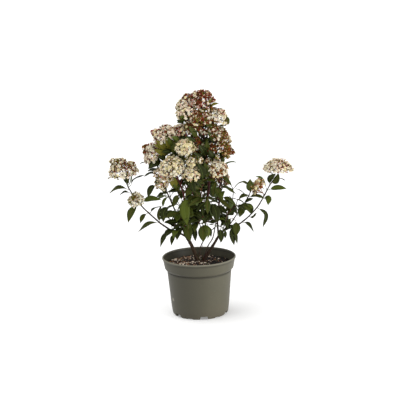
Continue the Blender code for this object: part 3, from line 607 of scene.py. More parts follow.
compost = {
    "seed": 4,
    "crown": 0.136,
    "edge": 0.128,
    "plateau": 0.040,
    "rings": 46,
    "sides": 128,
    "lumps": 0.0022,
    "sunk": 0.0010,  # how far the lumps lie below the level that the stems stand on
    "calmEdge": (0.0860, 0.012, 0.25),  # the radius and width of the calmer edge, and its least lumps
    "wallHeights": (0.1218, 0.1170, 0.026, 0.0102),  # where the inside of the wall bends
    "wallGap": 0.0006,
    "floorGap": 0.0004,
    "tints": ((15, 10, 7), (42, 27, 17), (84, 62, 44)),  # dark, light and chips
    "crumbs": 3000,
    "crumbSize": (0.0010, 0.0030),
    "largeCrumbs": (0.12, 1.25),  # their share, and how much larger they are
    "crumbReach": 0.965,
    "crumbSink": 0.22,
    "crumbStretch": ((0.8, 1.5), (0.7, 1.1), (0.45, 0.8)),
    "crumbTilt": 0.6,
    "crumbKnobs": 0.35,
    # Kinds from the rarest on. Each comes up to this share, and more by this share where crumbs are pale.
    "crumbKinds": [(0.0, 0.20, "crumbPale"), (0.06, 0.38, "crumbTan"), (0.18, 0.56, "crumbRed")],
    "patchy": 0.35,  # how much the mixture changes from place to place
    "rust": (0.72, 0.6),  # where tan crumbs turn rusty, as a share from right to left, and how many do
    "moss": 0.975,  # dark crumbs above this share are green
    # name: dark and light parts
    "crumbTints": {
        "crumbDark": ((12, 9, 7), (26, 19, 14)),
        "crumbRed": ((52, 32, 22), (88, 56, 40)),
        "crumbTan": ((112, 80, 56), (156, 116, 84)),
        "crumbPale": ((214, 192, 168), (248, 234, 216)),
        "crumbMoss": ((40, 50, 22), (74, 86, 36)),
        "crumbRust": ((112, 78, 46), (148, 108, 68)),
    },
}


# The pot's inner radius at this height.
def insideRadius(height):
    for (r1, z1, _), (r0, z0, _) in zip(pot["inside"], pot["inside"][1:]):
        if z0 <= height <= z1:
            return r0 + (r1 - r0) * (height - z0) / (z1 - z0)
    return pot["inside"][-1][0]


def compostHeight(x, y):
    radius = math.hypot(x, y)
    wide = insideRadius(compost["edge"]) - compost["plateau"]
    slope = min(1.0, max(0.0, (radius - compost["plateau"]) / wide))
    ground = compost["crown"] + (compost["edge"] - compost["crown"]) * slope
    rough = noise.noise(Vector((x * 70, y * 70, 3.0))) + 0.5 * noise.noise(Vector((x * 190, y * 190, 9.0)))
    calmRadius, width, least = compost["calmEdge"]
    calm = min(1.0, (calmRadius - radius) / width + least)
    return ground - compost["sunk"] + compost["lumps"] * rough * calm


def makeCompostBody():
    dark, light, chips = (paint(tint) for tint in compost["tints"])
    soil = Finish("compostFinish", compost["tints"][0], 0.95)
    tone = soil.mix(soil.band(soil.grain(160.0, 4.0, 0.7), 0.38, 0.66), dark, light)
    tone = soil.mix(soil.band(soil.grain(520.0, 2.0), 0.64, 0.70) * 0.7, tone, chips)
    soil.give("Base Color", tone)
    soil.give("Roughness", soil.grain(300.0) * 0.2 + 0.78)
    soil.bump(soil.grain(700.0) + soil.dots(420.0) * 0.5, 0.7, 0.0012)
    rings, sides = compost["rings"], compost["sides"]
    edge = insideRadius(compost["edge"]) - compost["wallGap"]
    heights, gap = compost["wallHeights"], compost["floorGap"]
    outline = [(edge * i / rings, None) for i in range(rings + 1)]
    outline += [(insideRadius(z) - compost["wallGap"], z) for z in heights]
    outline += [
        (pot["padRadius"], heights[-1]), (pot["padRadius"] - pot["padSlope"] - gap, pot["floor"] + gap),
    ]
    points, faces = turned(outline, sides, rises=False)
    points = [(x, y, compostHeight(x, y) if z is None else z) for x, y, z in points]
    faces.append(tuple(reversed(range(len(points) - sides, len(points)))))
    body = Heap("compost", [soil])
    body.add(points, faces)
    body.make(["soil"], "compost")


# Granules and chips that lie on it: pale and rusty ones on the left, near black ones on the right.
def makeCrumbs():
    chance = random.Random(compost["seed"])
    edge = insideRadius(compost["edge"]) - compost["wallGap"]
    finishes = []
    for name, (dark, light) in compost["crumbTints"].items():
        finish = plainFinish(name, dark, 0.9, 0.0004, 1500.0)
        tone = finish.mix(finish.band(finish.grain(500.0), 0.35, 0.65), paint(dark), paint(light))
        finish.give("Base Color", tone)
        finishes.append(finish)
    build = bmesh.new()
    bmesh.ops.create_icosphere(build, subdivisions=1, radius=1.0)
    ball = [v.co.copy() for v in build.verts]
    ballFaces = [tuple(v.index for v in f.verts) for f in build.faces]
    build.free()
    crumbs = Heap("compost_crumbs", finishes)
    kinds = list(compost["crumbTints"])
    largeShare, larger = compost["largeCrumbs"]
    rustFrom, rustShare = compost["rust"]
    for _ in range(compost["crumbs"]):
        angle, share = chance.uniform(0, math.tau), math.sqrt(chance.random())
        reach = edge * compost["crumbReach"] * share
        x, y = reach * math.cos(angle), reach * math.sin(angle)
        size = chance.uniform(*compost["crumbSize"]) * (larger if chance.random() < largeShare else 1.0)
        leftness = 0.5 - x / edge * 0.5
        patch = leftness + compost["patchy"] * noise.noise(Vector((x * 40, y * 40, 1.0)))
        roll = chance.random()
        other = "crumbMoss" if roll > compost["moss"] else "crumbDark"
        likely = [name for base, more, name in compost["crumbKinds"] if roll < base + more * patch]
        kind = likely[0] if likely else other
        if kind == "crumbTan" and leftness > rustFrom and chance.random() < rustShare:
            kind = "crumbRust"
        stretch = Vector([chance.uniform(*spread) for spread in compost["crumbStretch"]])
        turn = Matrix.Rotation(chance.uniform(0, math.tau), 3, "Z")
        turn = turn @ Matrix.Rotation(chance.uniform(-compost["crumbTilt"], compost["crumbTilt"]), 3, "X")
        centre = Vector((x, y, compostHeight(x, y) + size * compost["crumbSink"]))
        shift = Vector((chance.uniform(0, 50), 0, 0))
        lump = []
        for p in ball:
            knob = 1.0 + compost["crumbKnobs"] * noise.noise(p * 1.3 + shift)
            lump.append(centre + turn @ (p * stretch) * size * knob)
        crumbs.add(lump, ballFaces, kinds.index(kind))
    crumbs.make([], "compost", 40)


makeCompostBody()
makeCrumbs()
print("compost and the crumbs on it")


wood = {
    "sides": 18,
    "ringSpacing": 0.0022,
    "flare": 0.35,
    "flareLength": 0.006,
    "knotEvery": 0.021,
    "knotSwell": 0.16,
    "knotHalf": 0.0016,
    "grooveDepth": 0.10,
    "lumpDepth": 0.06,
    "sunkFoot": 0.003,  # how far a limb's foot runs into what carries it
    "red": ("centre_bough", "centre_left_bough", "upper_left_bough"),  # limbs with red bark
}
# dark, light and dotted parts, and roughness
barks = {
    "oldBark": ((40, 29, 21), (74, 56, 41), (112, 92, 70), 0.72),
    "redBark": ((50, 17, 14), (84, 34, 26), (124, 78, 60), 0.55),
    "thinBark": ((52, 38, 30), (86, 68, 52), (120, 102, 80), 0.62),
    "twigBrown": ((36, 27, 20), (62, 48, 35), (104, 86, 64), 0.62),
    "twigRed": ((52, 15, 12), (82, 30, 22), (120, 74, 54), 0.5),
    "twigOlive": ((64, 58, 30), (96, 88, 48), (130, 112, 76), 0.6),
}
# In mm: each limb's path, and its radius at the foot and at the tip.
stemFoot = 1000 * compost["crown"] + 0.3
stems = {
    "left_stem": ([(-4, 6, stemFoot), (-17, 2, 175), (-34, -4, 210)], 5, 4),
    "right_stem": ([(12, 8, stemFoot), (40, 4, 180), (52, 2, 200), (69, 0, 219), (85, -2, 236)], 4.7, 2),
    "back_left_stem": ([(-1, 30, stemFoot), (6, 38, 166), (12, 42, 182), (5, 48, 220)], 1.7, 1.3),
    "back_right_stem": ([(13, 29, stemFoot), (24, 38, 165), (38, 45, 187), (47, 52, 226)], 1.7, 1.3),
}
boughs = {
    "centre_bough": (
        [(-32, -3, 206), (-16, 2, 228), (-1, 5, 242), (16, 5, 274),
         (28, 2, 312), (32, -2, 352)], 3.6, 3.2,
    ),
    "left_bough": ([(-34.5, -4.2, 210.5), (-44, -8, 235), (-51, -10, 257)], 2.4, 2),
    "centre_left_bough": (
        [(-34, -4, 209.5), (-34, -14, 228), (-34, -22, 246), (-34, -32, 279)], 2.2, 1.8,
    ),
    "far_left_bough": (
        [(-30, -2.5, 202), (-48, -6, 213), (-62, -8, 217), (-80, -11, 230), (-97, -12, 243)], 2.6, 2.1,
    ),
    "upper_left_bough": ([(16, 5, 274), (4, 12, 310), (-16, 12, 352), (-38, 4, 400)], 1.9, 1.6),
    "right_bough": ([(52, 2, 200), (50, -6, 239), (53, -12, 277)], 2.6, 2),
    "far_right_bough": ([(66, 0, 215.5), (78, 3, 219.5), (90, 5, 223), (109, 8, 231)], 2.5, 2),
}
limbs = {
    name: ([inMetres(point) for point in path], foot / 1000, tip / 1000)
    for name, (path, foot, tip) in {**stems, **boughs}.items()
}


def makeBarkFinish(name):
    dark, light, dotted, roughness = barks[name]
    bark = Finish(name, dark, roughness, 0.2)
    flow = bark.grain(240.0, 5.0, 0.65, (1.0, 1.0, 0.22))
    tone = bark.mix(bark.band(flow, 0.36, 0.66), paint(dark), paint(light))
    tone = bark.mix((1 - bark.band(bark.dots(260.0), 0.10, 0.20)) * 0.55, tone, paint(dotted))
    bark.give("Base Color", tone)
    bark.give("Roughness", flow * 0.25 + (roughness - 0.12))
    bark.bump(flow + bark.grain(900.0) * 0.4, 0.6, 0.0007)
    return bark


# Lengthwise grooves, swollen rings where old leaves stood, and small lumps.
def barkRelief(distances, shift):
    def relief(point, i):
        toKnot = (distances[i] + shift) % wood["knotEvery"] - wood["knotEvery"] / 2
        knot = wood["knotSwell"] * math.exp(-((toKnot / wood["knotHalf"]) ** 2))
        groove = noise.noise(Vector((point.x * 900, point.y * 900, point.z * 90 + shift * 50)))
        return 1.0 + knot + wood["grooveDepth"] * groove + wood["lumpDepth"] * noise.noise(point * 330)
    return relief


def makeLimb(name, spec, finish, flare, shift):
    points, foot, tip = spec
    path, distances = evenPath(points, wood["ringSpacing"])
    total = distances[-1]
    radii = [
        foot + (tip - foot) * s / total + foot * flare * math.exp(-s / wood["flareLength"])
        for s in distances
    ]
    down = (path[0] - path[1]).normalized() * wood["sunkFoot"]
    path, distances, radii = [path[0] + down, *path], [0.0, *distances], [radii[0], *radii]
    heap = Heap(name + "_bark", [finish])
    heap.add(*tube(path, radii, wood["sides"], barkRelief(distances, shift)))
    heap.make([name], "bark")


def makeWood():
    old, red, thin = (makeBarkFinish(name) for name in ("oldBark", "redBark", "thinBark"))
    for i, (name, spec) in enumerate(limbs.items()):
        flare = wood["flare"] if name in stems else 0.0
        finish = red if name in wood["red"] else thin if name.startswith("back_") else old
        makeLimb(name, spec, finish, flare, 0.007 * i)


makeWood()
print("stems and boughs")


def head(look, radius, axis, spreadDeg=86.0):
    return {"look": look, "radius": radius / 1000, "axis": axis, "spread": math.radians(spreadDeg)}


# A path, radii and leaves in mm, how many pairs of leaves, and their turn about the shoot from the last.
def shoot(path, radius, pairs=0, phase=0.0, turn=90.0, leaf=47, droop=55.0, head=None):
    return {
        "path": [inMetres(point) for point in path], "radius": radius / 1000, "pairs": pairs,
        "phase": phase, "turn": turn, "leaf": leaf / 1000, "droop": droop, "head": head,
    }


# The first shoot of a spray carries on from a limb's tip. The others leave the shoots before them.
sprays = {
    "far_left_spray": [
        shoot([(-97, -12, 243), (-124, -14, 270), (-143, -15, 291), (-171, -15, 334), (-184, -12, 369)],
              2, pairs=6, turn=12, leaf=49, droop=62, head=head("open", 40, (-0.1, -0.1, 1), 92)),
        shoot([(-143, -15, 291), (-152, -19, 299)], 1.1, head=head("pale", 22, (-0.2, -0.5, 0.8))),
        shoot([(-176, -15, 345), (-168, -16, 365)], 1, pairs=1, phase=10, leaf=26),
    ],
    "left_spray": [
        shoot([(-51, -10, 257), (-61, -13, 284), (-73, -18, 316), (-83, -20, 340),
               (-92, -18, 368), (-103, -8, 411)],
              1.9, pairs=6, phase=10, turn=80, leaf=44, head=head("pinkBrown", 28, (-0.6, -0.3, 0.7))),
        shoot([(-85, -20, 346), (-87, -29, 350)], 1.1, head=head("creamPink", 19, (-0.1, -0.9, 0.1))),
        shoot([(-91, -19, 364), (-90, -29, 371)], 1.1, head=head("creamPink", 19, (0, -0.8, 0.5))),
    ],
    "upper_left_spray": [
        shoot([(-38, 4, 400), (-52, -2, 428), (-72, -8, 456)],
              1.5, pairs=2, phase=30, leaf=38, head=head("whitePink", 32, (-0.4, -0.2, 0.9))),
        shoot([(-46, 1, 415), (-40, -2, 440), (-36, -4, 468)],
              1.2, pairs=1, phase=60, leaf=36, head=head("whitePink", 27, (0.1, -0.2, 1))),
    ],
    "centre_left_spray": [
        shoot([(-34, -32, 279), (-33, -40, 314), (-38, -44, 338), (-46, -46, 362), (-58, -48, 388)],
              2.3, pairs=5, phase=45, leaf=50, droop=75, head=head("cream", 33, (-0.2, -0.6, 0.8))),
        shoot([(-34, -41, 320), (-22, -47, 346), (-12, -50, 370)],
              1.3, pairs=1, phase=70, droop=75, head=head("cream", 25.6, (-0.05, -0.6, 0.8))),
        shoot([(-40, -44, 345), (-33, -44, 385), (-25, -46, 436)],
              1.2, pairs=1, phase=80, leaf=38, head=head("creamDense", 26.2, (-0.15, -0.6, 0.8))),
    ],
    "upper_right_spray": [
        shoot([(31, -1, 340), (42, 0, 368), (47, -2, 400), (50, -8, 440), (51, -12, 475), (53, -13, 503)],
              1.8, pairs=5, phase=35, leaf=36, head=head("halfWhite", 31, (0.4, -0.3, 0.85))),
        shoot([(50, -8, 440), (56, -16, 462)], 1.2, head=head("mixed", 27, (0.4, -0.5, 0.8))),
        shoot([(48, -4, 415), (64, -6, 424)], 1.2, head=head("orangeBuds", 26, (0.8, -0.3, 0.6))),
    ],
    "crown_spray": [
        shoot([(32, -2, 352), (27, -5, 414), (20, -5, 478), (18, -2, 544)],
              2.3, pairs=7, phase=20, leaf=40, head=head("crimsonBuds", 37, (0, -0.1, 1))),
        shoot([(24, -5, 440), (4, -10, 480), (-18, -16, 520)],
              1.3, pairs=1, phase=30, leaf=34, head=head("whitePink", 28, (-0.5, -0.4, 0.8))),
        shoot([(20, -5, 478), (14, -18, 496), (12, -29, 508)],
              1.2, head=head("dotted", 26, (0, -0.7, 0.7))),
        shoot([(29, -4, 385), (16, -10, 408), (6, -12, 428)],
              1.2, pairs=1, phase=40, leaf=34, head=head("brownBuds", 22, (-0.1, -0.5, 0.9))),
        shoot([(21, -5, 465), (12, 14, 490), (0, 28, 516)],
              1.2, pairs=1, phase=60, leaf=34, head=head("mixed", 29, (-0.1, 0.6, 0.8))),
    ],
    "right_spray": [
        shoot([(53, -12, 277), (57, -15, 312), (58, -26, 345), (54, -40, 378)],
              1.8, pairs=4, phase=5, leaf=50, droop=70, head=head("whiteOrange", 26.5, (0.1, -0.6, 0.8))),
        shoot([(57, -18, 322), (70, -16, 348), (76, -12, 372)],
              1.2, pairs=2, phase=10, leaf=44, droop=60),
    ],
    "right_inner_spray": [
        shoot([(85, -2, 236), (98, -4, 255), (118, -6, 284), (134, -5, 311), (139, -4, 326)],
              1.5, pairs=5, phase=10, turn=50, leaf=42, droop=50),
        shoot([(101, -4, 259), (98, -16, 280), (102, -22, 300)], 1.1, pairs=3, phase=20, leaf=40),
    ],
    "far_right_spray": [
        shoot([(109, 8, 231), (129, 8, 247), (153, 8, 272), (169, 6, 298),
               (187, 5, 331), (207.5, 5, 358)],
              1.9, pairs=6, phase=10, turn=15, leaf=43, droop=62,
              head=head("umbrella", 41, (0.05, 0, 1), 80)),
        shoot([(169, 6, 298), (170, 2, 308)], 1.2, head=head("peach", 30, (-0.75, -0.1, 0.65), 44)),
    ],
    "back_left_spray": [
        shoot([(5, 48, 220), (-12, 60, 270), (-34, 68, 330), (-47, 68, 390), (-52, 66, 436)],
              1.2, pairs=6, phase=40, head=head("creamPink", 32, (-0.2, 0.5, 0.85))),
        shoot([(-22, 64, 296), (-46, 74, 324), (-62, 80, 350)],
              1.1, pairs=2, phase=15, head=head("cream", 28, (-0.4, 0.6, 0.7))),
        shoot([(-6, 55, 252), (-16, 78, 268), (-22, 92, 290)], 1, pairs=2, phase=65, droop=70),
    ],
    "back_right_spray": [
        shoot([(47, 52, 226), (58, 60, 280), (66, 68, 340), (63, 66, 400), (60, 64, 436)],
              1.2, pairs=6, phase=20, head=head("whiteOrange", 32, (0.3, 0.5, 0.8))),
        shoot([(58, 60, 275), (58, 78, 305), (60, 84, 328)],
              1.1, pairs=1, phase=30, head=head("whitePink", 27, (0.2, 0.8, 0.5))),
        shoot([(52, 56, 250), (72, 70, 268), (84, 76, 288)], 1, pairs=2, droop=70),
    ],
    "back_centre_spray": [
        shoot([(16, 5, 274), (18, 22, 300), (18, 40, 335), (14, 52, 372), (10, 58, 410), (10, 60, 470)],
              1.6, pairs=7, phase=10, leaf=42, head=head("mixed", 32, (0, 0.6, 0.8))),
        shoot([(12, 56, 392), (12, 80, 398), (12, 88, 404)], 1.1, head=head("cream", 28, (0, 0.8, 0.5))),
    ],
    "middle_skirt_spray": [
        shoot([(16, 5, 274), (12, -20, 292), (10, -34, 318), (14, -38, 345)],
              1.3, pairs=4, phase=15, leaf=54, droop=85),
        shoot([(12, -18, 290), (-6, -34, 306), (-12, -46, 330)],
              1.1, pairs=3, phase=50, leaf=50, droop=80),
    ],
    "left_skirt_spray": [
        shoot([(-40, -4, 207.5), (-52, -20, 224), (-60, -30, 244)],
              1.3, pairs=3, phase=20, leaf=55, droop=80),
        shoot([(-46, -12, 216), (-62, -16, 236), (-78, -18, 262)],
              1.1, pairs=2, phase=15, leaf=44, droop=75),
    ],
    "centre_skirt_spray": [
        shoot([(-16, 2, 228), (-10, -16, 236), (4, -34, 248), (14, -46, 266)],
              1.4, pairs=4, phase=30, leaf=52, droop=85),
        shoot([(-2, -26, 242), (20, -34, 246), (38, -40, 258)], 1.1, pairs=3, leaf=50, droop=80),
    ],
    "right_skirt_spray": [
        shoot([(60, 1, 209), (64, -18, 224), (70, -30, 246), (74, -34, 272)],
              1.3, pairs=4, phase=25, leaf=52, droop=80),
        shoot([(65, -20, 227), (48, -32, 240), (40, -38, 262)],
              1.1, pairs=2, phase=10, leaf=50, droop=80),
    ],
    "back_skirt_spray": [
        shoot([(-8, 3.5, 235.5), (-14, 26, 250), (-22, 42, 276)],
              1.3, pairs=2, phase=40, leaf=52, droop=80),
        shoot([(-12, 22, 247), (-36, 30, 262), (-52, 34, 290)],
              1.1, pairs=3, phase=20, leaf=45, droop=75),
    ],
}
growth = {
    "startGap": 0.0003,
    "shootSteps": 5,
    "firstPair": 0.012,
    "firstPairShare": 0.4,
    "lonePairShare": 0.7,
    "lastPair": 0.006,
    "endPair": 0.002,
    "nodeHalf": 0.0011,
    "ringSpacing": 0.020,
    "taper": 0.28,
    "aside": 0.3,
    "clusterReach": (0.93, 1.0),
    "topReach": 0.97,
    "rays": [(0.0, 4), (0.0255, 5), (0.035, 6)],  # from this radius a head has this many rays
    "rayFork": 0.40,
    "forkTilt": 0.62,
    "innerTilt": 0.46,
    "outerTilt": 0.92,
    "flatness": 0.90,
    "headRise": 0.003,
}
leafRule = {
    "lengthSpread": 0.12,
    "widthShare": 0.46,
    "widthSpread": 0.10,
    "shrink": 0.12,
    "lean": (50, 70),
    "swing": 0.2,
    "roll": 0.35,
    "droopSpread": 0.25,
    "tries": 3,
    "bends": (0.46, 0.78, 1.0),
    "levelEnough": 0.1,
    "sameTip": 0.0003,  # a try whose tip is this near the solid's is the one that it grew
    "smallShare": 0.55,  # how long a leaf is that had no room to reach its full length
    "skirtFront": -0.7,  # a skirt's leaf that heads further to the front than this gives way to single ones
}
leaf = {
    "stations": 10,
    "slim": 0.86,
    "tipBeyond": 0.0035,  # the thin end of a leaf, past where it looks to end
    "petiole": 0.13,
    "singlePetiole": 0.10,
    "longestPetiole": 0.6,
    "petioleRadius": 0.0007,
    "petioleSwell": (1.5, 1.05, 1.0, 0.95),
    "petioleSides": 5,
    "petioleSunk": 0.0008,
    "leastHalf": 0.0008,
    "bladeStart": 0.004,
    "curveEnd": 0.9999,
    "fold": 0.10,
    "flank": 0.55,  # where the blade's flank lies between the midrib and the edge
    "bulge": 0.0007,
    "quilt": 0.00035,
    "wave": 0.0011,
    "waves": 8.0,
    "thickness": 0.00045,
    "ribHalf": 0.00042,
    "ribTaper": 0.6,
    "ribKeel": 0.0007,
    "hang": 0.0013,  # how far the middle of a single leaf hangs below its place
    "bareRoot": 0.006,  # a single leaf further than this from its wood has a stalk through its root
    "front": (0.0, -1.0, 0.3),
    "back": (0.0, 1.0, 0.3),
    "faceShare": 0.35,  # how far the upper side of a spray's leaf turns to the front or the back
    # four tints of the upper side, two ribs and the under side: colour, roughness, depth and scale of
    # its relief, and how much it shines
    "finishes": {
        "leafDeep": ((38, 43, 11), 0.5, 0.0004, 700.0, 0.12),
        "leafGreen": ((56, 64, 16), 0.5, 0.0004, 700.0, 0.12),
        "leafBright": ((71, 81, 22), 0.5, 0.0004, 700.0, 0.12),
        "leafYoung": ((102, 98, 30), 0.5, 0.0004, 700.0, 0.12),
        "leafRib": ((84, 98, 42), 0.5, 0.0, 0.0, 0.12),
        "leafRibRed": ((96, 76, 40), 0.5, 0.0, 0.0, 0.12),
        "leafUnder": ((84, 96, 54), 0.65, 0.0004, 900.0, 0.2),
    },
}
